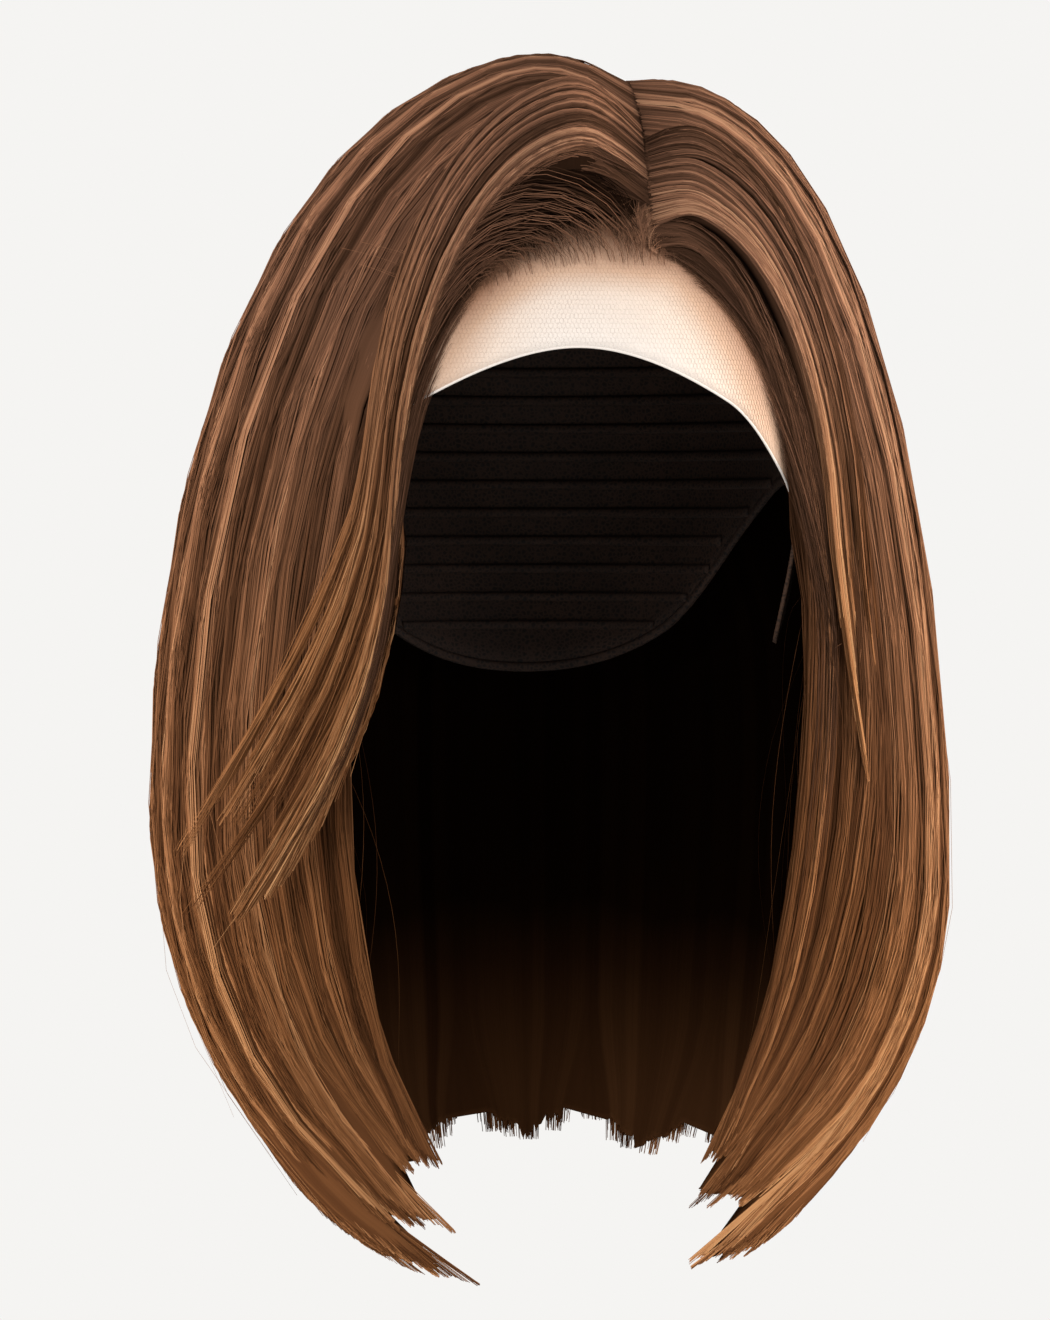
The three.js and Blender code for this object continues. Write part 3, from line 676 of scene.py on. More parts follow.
def locks_of_hair(
    panel, seed, locks, strands, span=None, deep=1.3, wander=0.5, ragged=0.012, point=0.8, fill=0.45,
    curl=0.0, merge=0.0,
):
    """Strands that run in locks over a panel. span is the range of angles of an edge that they fill, deep
    how far locks differ in depth, wander how far they swing, ragged how uneven their ends are, point the
    share of a lock's width that is left at its end, fill the share of the layer's depth that they take up,
    curl how far their ends may stand off, and merge how deep these sink."""
    rng = np.random.default_rng(seed)
    low, high = span or (panel["from"], panel["to"])
    count = locks * strands
    lock = np.repeat(np.arange(locks), strands)
    pitch = (high - low) / locks
    centre = low + (np.arange(locks) + 0.5 + LOCK_JITTER * rng.uniform(-1, 1, locks)) * pitch
    tip, off = tip_of(panel, centre)

    lock_depth = deep * rng.random(locks) + RIPPLE_DEPTH * ripple(panel, centre)
    lock_end = 1 - TIP_NOTCH * off - ragged * rng.random(locks)
    lock_phase = rng.uniform(0, 2 * math.pi, locks)[lock][:, None]
    lock_swing = (wander * pitch * rng.uniform(0.3, 1, locks))[lock][:, None]

    beside = rng.uniform(-1, 1, count)
    place = np.clip(centre[lock] + LOCK_HALF * pitch * beside, panel["from"], panel["to"])
    tone = tone_over(panel, place, rng)
    tone = tone + rng.normal(0, STRAND_TONE, count) + rng.normal(0, LOCK_TONE, locks)[lock]
    end = lock_end[lock] - (ragged + STRAND_ENDS) * rng.random(count) ** 2
    along = end[:, None] * DENSE_SHARES

    spread = lerp(1, point, late(along, TIP_FROM))
    swing = lock_swing * np.sin(SWING_PACE * along + lock_phase) * smooth(along / SWING_EASE)
    own_phase = rng.uniform(0, 6.3, count)[:, None]
    own_swing = OWN_SWING * pitch * np.sin(OWN_PACE * along + own_phase) * smooth(along / OWN_EASE)
    angle = centre[lock][:, None] + (beside[:, None] * LOCK_HALF * pitch + own_swing) * spread + swing
    drawn = gathered(panel, angle, tip[lock][:, None], along)
    angle = np.clip(lerp(angle, drawn, panel.get("soft_tip", 1.0)), panel["from"], panel["to"])

    depth = (lock_depth[lock] + LOCK_BOW * beside**2 + STRAND_DEPTH * rng.random(count))[:, None]
    paths = strand_path(panel, angle, along, ROOT_SPREAD * rng.uniform(-0.5, 1, count)[:, None])
    layer = layer_at(panel, angle, along, paths[..., 2])
    if span:
        depth = fill * layer * rng.random(count)[:, None] * smooth(along / EDGE_FLAT)
    else:
        depth = np.minimum(depth * smooth(along / ROOT_FLAT), fill * layer)
    off_form = merge * rng.uniform(0.5, 1, locks)[lock] - curl * rng.random(count) ** 2
    depth += off_form[:, None] * late(along, END_FROM) ** 2
    paths = clear_of_head(eased(lift(paths, -depth)), CAP_WALL + 0.6)
    paths, along = stationed(paths, along, rng.uniform(-0.45, 0.45, locks)[lock])

    share = along / end[:, None]
    taper = lerp(1, 0.75, late(share, TAPER_FROM)) * lerp(0.8, 1, smooth(share / ROOT_SHARE))
    thickness = STRAND_RADIUS * rng.uniform(0.75, 1.2, count)
    return strand_group(
        paths, thickness[:, None] * taper, along, tone, rng.uniform(0, NOISE_PLACES, count), beside
    )


def strays_of(panel, seed, count, high=2.5):
    """Single hairs that stand a little off a panel over a part of their length."""
    rng = np.random.default_rng(seed)
    made = locks_of_hair(panel, seed, count, 1, wander=2, ragged=0.1)
    middle = rng.uniform(0.5, 0.95, count)[:, None]
    span = rng.uniform(0.08, 0.2, count)[:, None]
    hump = np.maximum(1 - ((made["along"] - middle) / span) ** 2, 0)
    made["paths"] = lift(made["paths"], (2 + high * rng.random(count)[:, None]) * hump)
    made["radius"] *= STRAY_RADIUS / STRAND_RADIUS
    return made


def joined(*groups):
    return {key: np.concatenate([group[key] for group in groups]) for key in groups[0]}


def inward(panel, edge, share):
    """Angles at a share of the way from an edge of a panel to its middle."""
    return edge + ((panel["to"] + panel["from"]) / 2 - edge) * share


def rising_hair(panel, seed, foot, along_from, along_to, sweep_angle, depth, rise, radius):
    """Strands that stand up from feet on the lace, then run with a panel between two shares of length."""
    rng = np.random.default_rng(seed)
    count = len(foot)
    share = np.linspace(0, 1, SHORT_STATIONS)
    along = lerp(along_from[:, None], along_to[:, None], share)
    with_panel = lift(strand_point(panel, sweep_angle[:, None], along), -depth[:, None])
    outwards_and_up = unit(0.6 * unit(foot - axis_point(foot)) + np.array([0, 0, 0.8]))
    upright = foot[:, None] + outwards_and_up[:, None] * (rise[:, None] * share)[..., None]
    merged = smooth(share / 0.55)[None, :, None]
    paths = clear_of_head(lerp(upright, with_panel, merged), CAP_WALL + 0.3)
    taper = lerp(1, 0.3, late(share, 0.6)) * lerp(0.45, 1, smooth(share / 0.2))
    return strand_group(
        paths,
        (radius * rng.uniform(0.7, 1.1, count))[:, None] * taper,
        0.03 + 0.4 * share,
        rng.normal(0.45, 0.1, count),
        rng.uniform(0, NOISE_PLACES, count),
        rng.uniform(-0.5, 0.5, count),
    )


def hairline_roll(seed, count):
    """The hair that stands up from the hairline into the right sweep, finer and lighter in front, and with
    painted shade that deepens behind, under the sweep.
    """
    rng = np.random.default_rng(seed)
    at = np.sort(rng.random(count))
    angle = lerp(HAIRLINE["angle"][-1], HAIRLINE["angle"][0], at)
    behind = rng.random(count)
    height = through(HAIRLINE, "height", angle) + ROLL_HAIR["band"] * behind - ROLL_HAIR["low"]
    foot = head_point(np.radians(angle), polar_at(height), CAP_WALL + 0.2)
    joins = np.clip(at + rng.normal(0, 0.03, count), 0, 1)
    start = lerp(ROLL["sweep_from"], ROLL["sweep_to"], joins)
    depth = lerp(ROLL_HAIR["front_depth"], ROLL_HAIR["back_depth"], behind) + rng.normal(0, 0.5, count)
    end = start + rng.uniform(0.3, 0.5, count)
    rise = ROLL_HAIR["rise"] + ROLL_HAIR["more_behind"] * behind + rng.normal(0, 2, count)
    full = smooth(behind / 0.5)
    radius = lerp(0.75, 1, full) * STRAND_RADIUS
    made = rising_hair(RIGHT_FRONT, seed, foot, start, end, ROLL["sweep_at"] * behind, depth, rise, radius)
    # painted shade: the hairs behind, under the sweep, keep less light than those in front
    made["shade"] = lerp(0.8, 0.14, full)
    made["tone"] = np.clip(made["tone"] + 0.25 * (1 - smooth(behind / 0.3)), 0, 1)
    return made


def baby_hair(seed, count):
    """Short fine hairs along the hairline, some of them stronger ones over the front end of the parting."""
    rng = np.random.default_rng(seed)
    at_parting = rng.random(count) < BABY_HAIR_AT_PARTING
    beside_parting = rng.normal(PARTING_ANGLE, 3, count)
    angle = np.where(at_parting, beside_parting, rng.uniform(BABY_HAIR["from"], BABY_HAIR["to"], count))
    height = through(HAIRLINE, "height", angle) + BABY_HAIR["band"] * rng.random(count) - BABY_HAIR["low"]
    foot = head_point(np.radians(angle), polar_at(height), CAP_WALL + 0.1)
    share = np.linspace(0, 1, SHORT_STATIONS)
    long = rng.uniform(BABY_HAIR["shortest"], BABY_HAIR["longest"], count)
    lean = rng.normal(0.025 * (angle - 2), 0.45)
    out = unit(foot - axis_point(foot))
    across = unit(np.cross(out, [0, 0, 1.0]))
    up = np.cross(across, out)
    bend = lean[:, None] * share**1.4
    steps = long[:, None] * share
    paths = foot[:, None] + up[:, None] * steps[..., None] - across[:, None] * (steps * bend)[..., None]
    over_parting = PARTING_COVER * np.exp(-(((angle - PARTING_ANGLE) / 5) ** 2))
    height = 1.5 * share * (1 - share) + lerp(0.3, 1, over_parting)[:, None]
    thickness = STRAY_RADIUS * rng.uniform(0.35, 0.65, count) * (1 + at_parting)
    return strand_group(
        lift(clear_of_head(paths, CAP_WALL + 0.4), height),
        thickness[:, None] * lerp(0.5, 1, share),
        0.1 + 0.3 * share,
        rng.normal(0.8, 0.12, count) - 0.2 * at_parting,
        rng.uniform(0, NOISE_PLACES, count),
    )


def edge_wisps(panel, seed, count, edge, turned, along_range):
    """Fine hairs that start on the lace, up to an angle beside a front edge, and join it."""
    rng = np.random.default_rng(seed)
    start = rng.uniform(*along_range, count)
    x, y, z = strand_point(panel, np.full(count, edge, float), start).T
    off = np.radians(turned) * rng.random(count)
    spun = np.stack([x * np.cos(off) - y * np.sin(off), x * np.sin(off) + y * np.cos(off), z], -1)
    axis = axis_point(spun)
    foot = axis + (spun - axis) / head_ratio(spun, CAP_WALL + 0.2)[:, None]
    angle = inward(panel, edge, rng.uniform(0, 0.16, count))
    depth = rng.uniform(-0.4, 1.5, count)
    rise = rng.uniform(3, 8, count)
    return rising_hair(panel, seed, foot, start + 0.05, start + 0.4, angle, depth, rise, STRAY_RADIUS)


def hanging_strays(panel, seed, count, edge, sideways):
    """Loose hairs that hang from a curtain's front edge into the opening."""
    rng = np.random.default_rng(seed)
    share = np.linspace(0, 1, STATIONS)
    along = lerp(rng.uniform(0.42, 0.6, count)[:, None], rng.uniform(0.8, 0.98, count)[:, None], share)
    angle = inward(panel, edge, rng.uniform(0, 0.3, count))
    paths = strand_point(panel, np.broadcast_to(angle[:, None], along.shape), along)
    off = rng.uniform(2, 16, count)[:, None]
    bowed = np.sin(math.pi * share ** rng.uniform(0.6, 1.6, count)[:, None])
    paths[..., 0] += sideways * (off * bowed)
    paths[..., 1] += rng.uniform(0, 25, count)[:, None] * smooth(share / 0.4)
    return strand_group(
        paths,
        STRAY_RADIUS * rng.uniform(0.8, 1.2, count)[:, None] * lerp(1, 0.4, share),
        along,
        rng.normal(0.55, 0.15, count),
        rng.uniform(0, NOISE_PLACES, count),
    )


def hair_base(name, panel, material, seed, locks, rows, reach=0.99):
    """The dense under-layer of a panel, ridged into narrow locks, to a share of the hair's length."""
    rng = np.random.default_rng(seed)
    columns_a_lock = 3
    columns = locks * columns_a_lock + 1
    place = np.arange(columns)
    ridge = np.sin(math.pi * (place % columns_a_lock) / columns_a_lock)
    lock = np.minimum(place // columns_a_lock, locks - 1)
    inset = BASE_INSET * (panel["to"] - panel["from"])
    low_free, high_free = panel["free_edges"]
    angle = np.linspace(panel["from"] + inset * low_free, panel["to"] - inset * high_free, columns)
    tip, off = tip_of(panel, angle)
    length = reach - TIP_NOTCH * off - 0.003 * (1 - ridge) - 0.01 * rng.random(columns)

    samples = 5
    sampled = np.broadcast_to(np.linspace(panel["from"], panel["to"], samples)[:, None], (samples, DENSE))
    places = bend_places(strand_point(panel, sampled, DENSE_SHARES)).mean(0)
    along = np.interp(np.linspace(0, 1, rows), places, DENSE_SHARES)[:, None] * length
    angle = gathered(panel, angle, tip, along)
    point = strand_point(panel, angle, along)

    room = depth_over(point, CAP_WALL + 0.8)
    layer = np.minimum(layer_at(panel, angle, along, point[..., 2]), np.where(room > 0, room, np.inf))
    groove = BASE_SINK + RIPPLE_DEPTH * ripple(panel, angle) + BASE_RIDGE * (1 - ridge)
    off_root = smooth(along / ROOT_FLAT)
    sunk = np.minimum(groove * lerp(BASE_ROOT_SINK, 1, off_root), lerp(0.8, 0.6, off_root) * layer)
    least = HEM_DEPTH * smooth((along - 0.6) / 0.2)
    attributes = {
        "along": along,
        "tone": np.clip(rng.normal(0.45, 0.06, locks), 0, 1)[lock],
        "across": place,
        # painted shade: the inner side keeps little light, more towards the hem
        "shade": np.stack([np.ones_like(along), lerp(INSIDE_SHADE, HEM_SHADE, late(along, HEM_SHADE_FROM))]),
    }
    outer = lift(point, -sunk)
    inner = lift(point, 0.5 * BASE_RIDGE * ridge - np.maximum(layer, least))
    return shell(name, outer, inner, material, attributes, turned=True)


def roll_base(name, material):
    """The under-layer of the hair that stands up from the hairline to the sweep's edge, in painted shade."""
    rows, columns = 12, 60
    up = np.linspace(0.4, 1, rows)[:, None]
    at = np.linspace(0, 1, columns)
    angle = lerp(HAIRLINE["angle"][-1], HAIRLINE["angle"][0], at)
    foot = head_point(np.radians(angle), polar_at(through(HAIRLINE, "height", angle)), CAP_WALL + 0.8)
    edge = strand_point(RIGHT_FRONT, ROLL["sweep_at"], lerp(ROLL["sweep_from"], ROLL["sweep_to"], at))
    point = lerp(foot, edge, up[..., None])
    hollow = ROLL["recess"] * np.sin(math.pi * up) + ROLL["sink"] * up + 3 * (1 - smooth(at / 0.15))
    outer = clear_of_head(lift(point, -hollow), CAP_WALL + 1.6)
    inner = lift(outer, np.full(point.shape[:2], -1.0))
    # painted shade: the hollow under the sweep is darkened through the shade attribute
    attributes = {"along": 0.12 * up, "tone": 0.35, "across": np.arange(columns), "shade": 0.3}
    return shell(name, outer, inner, material, attributes)


def parting_base(name, material):
    """The bed of hair between the roots of both sides, behind the place where the parting's lace shows."""
    rows, columns, wall = 50, 9, 1.0
    y = np.linspace(PARTING_SHOWN_Y, PARTING_BACK_Y + CROWN_ROOT_RADIUS, rows)[:, None]
    across = np.linspace(-1, 1, columns)
    x, y = np.broadcast_arrays(PARTING_X + (PARTING_HALF_WIDTH + 0.6) * across, y)
    lifted = np.interp(y, MAIN_STRANDS["root_y"][:4], MAIN_STRANDS["root_lift"][:4])
    on_lace = head_top(x, y, CAP_WALL + SEAM_GAP + PARTING_LACE_WALL)
    z = on_lace + lifted - 0.2 - 0.4 * (1 - across**2)
    outer, inner = (np.stack([x, y, z - drop], -1) for drop in (0.0, wall))
    attributes = {"along": 0.01, "tone": 0.4, "across": y, "shade": 1.0}
    return shell(name, outer, inner, material, attributes, turned=True)


# The cap and the lace


def from_front(angle):
    return np.abs((np.asarray(angle, float) + 180) % 360 - 180)


def cap_edge(angle):
    turned = from_front(angle)
    on_lace = through(LACE_EDGES, "seam", turned)
    return np.where(turned <= LACE_EDGES["angle"][-1], on_lace, through(CAP_EDGES, "rim", turned))


def cap_shell(name, material):
    """The wall of the cap, with a small hole left at the crown, under the hair."""
    angle = np.linspace(0, 360, CAP_COLUMNS, endpoint=False)
    polar = np.linspace(0.02, 1, CAP_ROWS)[:, None] * polar_at(cap_edge(angle))
    outer, inner = (head_point(np.radians(angle), polar, grown) for grown in (CAP_WALL, 0.0))
    return shell(name, outer, inner, material, ring=True)


def ring_tube(paths, closed, across, thick, sides=6):
    """Flattened tubes along paths on the cap: vertices and faces. across and thick are half sizes."""
    count, stations = paths.shape[:2]
    if closed:
        tangent = unit(np.roll(paths, -1, 1) - np.roll(paths, 1, 1))
    else:
        tangent = unit(np.gradient(paths, axis=1))
    outward, beside = square_to(tangent, unit(paths - axis_point(paths)))
    turns = np.linspace(0, 2 * math.pi, sides, endpoint=False)
    ring = [paths + across * math.cos(t) * beside + thick * math.sin(t) * outward for t in turns]
    vertices = np.stack(ring, 2).reshape(-1, 3)
    steps = np.arange(stations if closed else stations - 1)
    start = np.arange(count)[:, None] * stations
    here, there = (start + steps) * sides, (start + (steps + 1) % stations) * sides
    quads = []
    for side in range(sides):
        turned = (side + 1) % sides
        quads.append(np.stack([here + side, there + side, there + turned, here + turned], -1).reshape(-1, 4))
    faces = [np.concatenate(quads)]
    if not closed:
        first = np.arange(count)[:, None] * stations * sides + np.arange(sides)
        last = np.arange(count)[:, None] * stations * sides + (stations - 1) * sides + np.arange(sides)[::-1]
        faces.append(np.concatenate([first, last]))
    return vertices, faces


def cap_wefts(name, material):
    """Rows of weft across the back of the cap, on its inside, and the binding of its edge."""
    around = np.linspace(0, 360, CAP_COLUMNS, endpoint=False)
    paths = []
    for height in np.arange(WEFTS["lowest"], WEFTS["highest"], WEFTS["pitch"]):
        covered = around[(cap_edge(around) < height - 2) & (from_front(around) > WEFTS["from"])]
        angle = np.radians(np.linspace(covered.min(), covered.max(), CAP_COLUMNS // 2))
        paths.append(head_point(angle, np.full(angle.shape, polar_at(height)), -0.3))
    edge = polar_at(cap_edge(around)) - BINDING["inside_edge"]
    binding = head_point(np.radians(around), edge, 0.5 * CAP_WALL)[None]
    row_vertices, row_faces = ring_tube(np.array(paths), False, WEFTS["half_width"], WEFTS["half_depth"])
    edge_vertices, edge_faces = ring_tube(binding, True, BINDING["half_width"], BINDING["half_depth"])
    faces = row_faces + [edge_faces[0] + len(row_vertices)]
    return mesh_object(name, np.concatenate([row_vertices, edge_vertices]), faces, material)


def lace_edges(turned):
    """Polar angles of the seam and the free edge of the lace, at angles from the middle of the forehead."""
    seam = polar_at(through(LACE_EDGES, "seam", turned) - SEAM_GAP)
    return seam, polar_at(through(LACE_EDGES, "rim", turned))


def turned_of(point):
    """Angles of points from the middle of the forehead, in degrees."""
    return np.degrees(np.arctan2(point[..., 0] / HEAD_HALF_BREADTH, -point[..., 1] / HEAD_FRONT_DEPTH))


def lace_paleness(point):
    """How pale the lace is at points on it: tan beside the hair, and darker at the sides with
    painted shade, sooner on the right.
    """
    turned = turned_of(point)
    left_edge = strand_point(LEFT, float(LEFT["front"]), np.linspace(0.03, 0.4, 40))
    left_turned = turned_of(left_edge)
    beyond = left_turned > PARTING_ANGLE
    angles = np.concatenate([HAIRLINE["angle"], np.maximum.accumulate(left_turned[beyond])])
    heights = np.concatenate([HAIRLINE["height"], left_edge[beyond, 2]])
    under_hair_edge = np.interp(turned, angles, heights) - point[..., 2]
    beside = 1 - TAN_SHARE * (1 - smooth(under_hair_edge / TAN_REACH))
    # painted shade: the lace darkens towards the sides of the forehead, sooner on the right
    off_middle = np.where(turned < 0, SIDE_PAINTED_SHADE["sooner_on_right"] - turned, turned)
    return beside * (1 - SIDE_PAINTED_SHADE["share"] * smooth((off_middle - SIDE_PAINTED_SHADE["from"]) / SIDE_PAINTED_SHADE["over"]))


def lace_film(name, material):
    """The sheer ground of the lace, bound along its free edge."""
    rows, columns = 22, 130
    end = LACE_EDGES["angle"][-1] - 0.5
    angle = np.linspace(-end, end, columns)
    seam, rim = lace_edges(np.abs(angle))
    share = np.linspace(0, 1, rows)[:, None]
    polar = lerp(seam, rim, share)
    heights = (LACE_FILM_OUTSIDE, LACE_FILM_INSIDE)
    grids = [head_point(np.radians(angle), polar, grown).reshape(-1, 3) for grown in heights]
    middle = 0.5 * (LACE_FILM_OUTSIDE + LACE_FILM_INSIDE)
    binding = head_point(np.radians(angle), rim, middle)[None]
    edge_vertices, edge_faces = ring_tube(binding, False, 0.4, 0.35)
    edge = np.tile((share * lace_paleness(head_point(np.radians(angle), polar, 0.0))).ravel(), 2)
    edge = np.concatenate([edge, np.ones(len(edge_vertices))])
    faces = [shell_faces(rows, columns)] + [group + 2 * rows * columns for group in edge_faces]
    return mesh_object(name, np.concatenate([*grids, edge_vertices]), faces, material, {"edge": edge})


def lace_net(name, material):
    """Hexagon net raised on the lace: a three-sided thread between each two corners of its cells."""
    end = LACE_EDGES["angle"][-1] - 0.5
    ball = 90.0  # radius of the ball that the net is laid out on
    lowest = 2.2  # polar angle that it reaches down to
    step_u, step_v = NET_PITCH, NET_PITCH * math.sqrt(3) / 2
    columns = int(math.radians(2 * end) * ball / step_u)
    rows = int(lowest * ball / step_v)
    corner = NET_PITCH / math.sqrt(3)
    row, column = np.meshgrid(np.arange(rows), np.arange(columns), indexing="ij")
    u = (column + 0.5 * (row % 2)) * step_u - 0.5 * columns * step_u
    v = row * step_v
    starts, ends = [], []
    for turn in (90, 30, -30):
        a, b = math.radians(turn), math.radians(turn - 60)
        starts.append(np.stack([u + corner * math.cos(a), v + corner * math.sin(a)], -1).reshape(-1, 2))
        ends.append(np.stack([u + corner * math.cos(b), v + corner * math.sin(b)], -1).reshape(-1, 2))
    ends_uv = np.stack([np.concatenate(starts), np.concatenate(ends)], 1)
    angle, polar = ends_uv[..., 0] / ball, ends_uv[..., 1] / ball
    turned = np.degrees(np.abs(angle))
    seam, rim = lace_edges(turned)
    kept = np.all((turned <= end) & (polar >= lerp(seam, rim, NET_FROM)) & (polar <= rim), 1)
    angle, polar, seam, rim = angle[kept], polar[kept], seam[kept], rim[kept]
    paths = head_point(angle, polar, np.full(angle.shape, LACE_FILM_OUTSIDE))
    tangent = unit(paths[:, 1] - paths[:, 0])[:, None]
    outward = unit(paths - axis_point(paths))
    beside = np.cross(tangent, outward)
    turns = np.radians([90, 210, 330])
    ring = [paths + NET_RADIUS * (math.cos(t) * beside + math.sin(t) * outward) for t in turns]
    vertices = np.stack(ring, 2).reshape(-1, 3)
    first = np.arange(len(paths)) * 6
    quads = [
        np.stack([first + side, first + 3 + side, first + 3 + (side + 1) % 3, first + (side + 1) % 3], -1)
        for side in range(3)
    ]
    share = (polar - seam) / (rim - seam)
    edge = np.repeat(share * lace_paleness(paths), 3, 1)
    return mesh_object(name, vertices, [np.concatenate(quads)], material, {"edge": edge})


def ear_tab(name, side, material):
    """The tab in front of an ear, under the ends of the lace and the cap."""
    middle, half = (EAR_TAB["from"] + EAR_TAB["to"]) / 2, (EAR_TAB["to"] - EAR_TAB["from"]) / 2
    rows, columns = 30, 24
    turned = np.linspace(EAR_TAB["from"], EAR_TAB["to"], columns)
    on_lace = through(LACE_EDGES, "rim", turned)
    on_cap = through(CAP_EDGES, "rim", turned)
    rim = np.where(turned <= LACE_EDGES["angle"][-1], on_lace, on_cap) - SEAM_GAP
    bottom = EAR_TAB["bottom"] + EAR_TAB["corner"] * ((turned - middle) / half) ** 4
    polar = lerp(polar_at(rim), polar_at(bottom), np.linspace(0, 1, rows)[:, None])
    outer, inner = (head_point(np.radians(side * turned), polar, grown) for grown in (CAP_WALL, 0.0))
    return shell(name, outer, inner, material, turned=side < 0)


def parting_strip(name, material):
    """The lace of the parting, with knots, that thins to its sides and its front end."""
    rows, columns = 160, 9
    thin, front_bevel = 0.15, 6
    y = np.linspace(PARTING_FRONT_Y, PARTING_BACK_Y - CROWN_ROOT_RADIUS, rows)[:, None]
    x = PARTING_X + np.linspace(-0.5, 0.5, columns)[None, :] * PARTING_LACE_WIDTH
    x, y = np.broadcast_arrays(x, y)
    low = CAP_WALL + SEAM_GAP
    knots = 0.12 * np.sin(3.1 * y) * np.sin(4.2 * x)
    off_middle = np.abs(x - PARTING_X) / (0.5 * PARTING_LACE_WIDTH)
    bevel = lerp(1, thin, off_middle**3) * lerp(thin, 1, smooth((y - PARTING_FRONT_Y) / front_bevel))
    walls = (PARTING_LACE_WALL * bevel, 0.0)
    outer, inner = (np.stack([x, y, head_top(x, y, low + wall) + knots], -1) for wall in walls)
    return shell(name, outer, inner, material, turned=True)


# Materials


def linear(red, green, blue):
    """Scene colour of a screen colour given from 0 to 255."""
    screen = np.array([red, green, blue]) / 255
    return tuple(np.where(screen <= 0.04045, screen / 12.92, ((screen + 0.055) / 1.055) ** 2.4)) + (1.0,)


def grey(value):
    return (value, value, value, 1)


def shader_of(name, roughness, specular):
    material = bpy.data.materials.new(name)
    material.use_nodes = True
    shader = material.node_tree.nodes["Principled BSDF"]
    shader.inputs["Roughness"].default_value = roughness
    shader.inputs["Specular IOR Level"].default_value = specular
    return material, material.node_tree, shader


def attribute(tree, name):
    node = tree.nodes.new("ShaderNodeAttribute")
    node.attribute_name = name
    return node.outputs["Fac"]


def ramp(tree, value, stops):
    """Colours over a value."""
    node = tree.nodes.new("ShaderNodeValToRGB")
    elements = node.color_ramp.elements
    while len(elements) < len(stops):
        elements.new(0.5)
    for element, (position, colour) in zip(elements, stops):
        element.position = position
        element.color = colour
    tree.links.new(value, node.inputs["Fac"])
    return node.outputs["Color"]


def screen_ramp(tree, value, places, colours):
    """Screen colours over a value."""
    return ramp(tree, value, [(at, linear(*colour)) for at, colour in zip(places, colours)])


def within(tree, value, low, high):
    """A value's place in a range, from 0 to 1, and held at its ends."""
    node = tree.nodes.new("ShaderNodeMapRange")
    node.inputs["From Min"].default_value = low
    node.inputs["From Max"].default_value = high
    tree.links.new(value, node.inputs["Value"])
    return node.outputs["Result"]


def mixed(tree, first, second, factor, kind="MIX"):
    """Two colours mixed. The factor is a number or a socket."""
    node = tree.nodes.new("ShaderNodeMix")
    node.data_type = "RGBA"
    node.blend_type = kind
    sockets = {socket.identifier: socket for socket in node.inputs}
    if isinstance(factor, float):
        sockets["Factor_Float"].default_value = factor
    else:
        tree.links.new(factor, sockets["Factor_Float"])
    for key, colour in (("A_Color", first), ("B_Color", second)):
        if isinstance(colour, tuple):
            sockets[key].default_value = colour
        else:
            tree.links.new(colour, sockets[key])
    return next(socket for socket in node.outputs if socket.identifier == "Result_Color")


def noise(tree, vector, scale, detail=2.0):
    node = tree.nodes.new("ShaderNodeTexNoise")
    node.inputs["Scale"].default_value = scale
    node.inputs["Detail"].default_value = detail
    if vector is not None:
        tree.links.new(vector, node.inputs["Vector"])
    return node.outputs["Fac"]


def bump(tree, height, shader, strength, distance):
    """Bumps of a shader, with their distance in metres."""
    node = tree.nodes.new("ShaderNodeBump")
    node.inputs["Strength"].default_value = strength
    node.inputs["Distance"].default_value = distance
    tree.links.new(height, node.inputs["Height"])
    tree.links.new(node.outputs["Normal"], shader.inputs["Normal"])


def hair_material(name, roughness, grooved):
    """Brown hair: darker at the roots, caramel towards the ends, each lock and strand of its own tone. It is
    darkened by painted shade where its shade attribute is low. Where single strands aren't modelled, it is
    grooved along its length."""
    material, tree, shader = shader_of(name, roughness, 0.0)
    along, tone, across, lit = (attribute(tree, key) for key in ("along", "tone", "across", "shade"))
    place = tree.nodes.new("ShaderNodeCombineXYZ")
    tree.links.new(across, place.inputs["X"])
    tree.links.new(along, place.inputs["Y"])
    fleck = noise(tree, place.outputs["Vector"], scale=4.0, detail=1.0)
    upper = screen_ramp(tree, tone, HAIR_TONES, UPPER_HAIR)
    lower = screen_ramp(tree, tone, HAIR_TONES, LOWER_HAIR)
    colour = mixed(tree, upper, lower, within(tree, along, 0.3, 0.75))
    root = ramp(tree, along, [(at, grey(share)) for at, share in DARK_ROOTS])
    flecks = ramp(tree, fleck, [(0.3, grey(0.9)), (0.7, grey(1.06))])
    # painted shade: the shade attribute darkens the inner side of the under-layers and the hair under the
    # sweep
    inside = ramp(tree, lit, [(0, grey(0)), (1, grey(1))])
    for shade in (root, flecks, inside):
        colour = mixed(tree, colour, shade, 1.0, "MULTIPLY")
    tree.links.new(colour, shader.inputs["Base Color"])
    if grooved:
        bump(tree, fleck, shader, strength=0.2, distance=0.0002)
    return material


def lace_material(name):
    """Fine beige net, deeper in colour where hair is knotted in, and darker at the sides with painted
    shade.
    """
    material, tree, shader = shader_of(name, 0.75, 0.3)
    colour = screen_ramp(tree, attribute(tree, "edge"), LACE_TONES, LACE_COLOURS)
    thread = noise(tree, None, scale=400.0)
    shade = ramp(tree, thread, [(0.3, grey(0.92)), (0.7, grey(1.04))])
    tree.links.new(mixed(tree, colour, shade, 1.0, "MULTIPLY"), shader.inputs["Base Color"])
    bump(tree, thread, shader, strength=0.2, distance=0.0002)
    return material


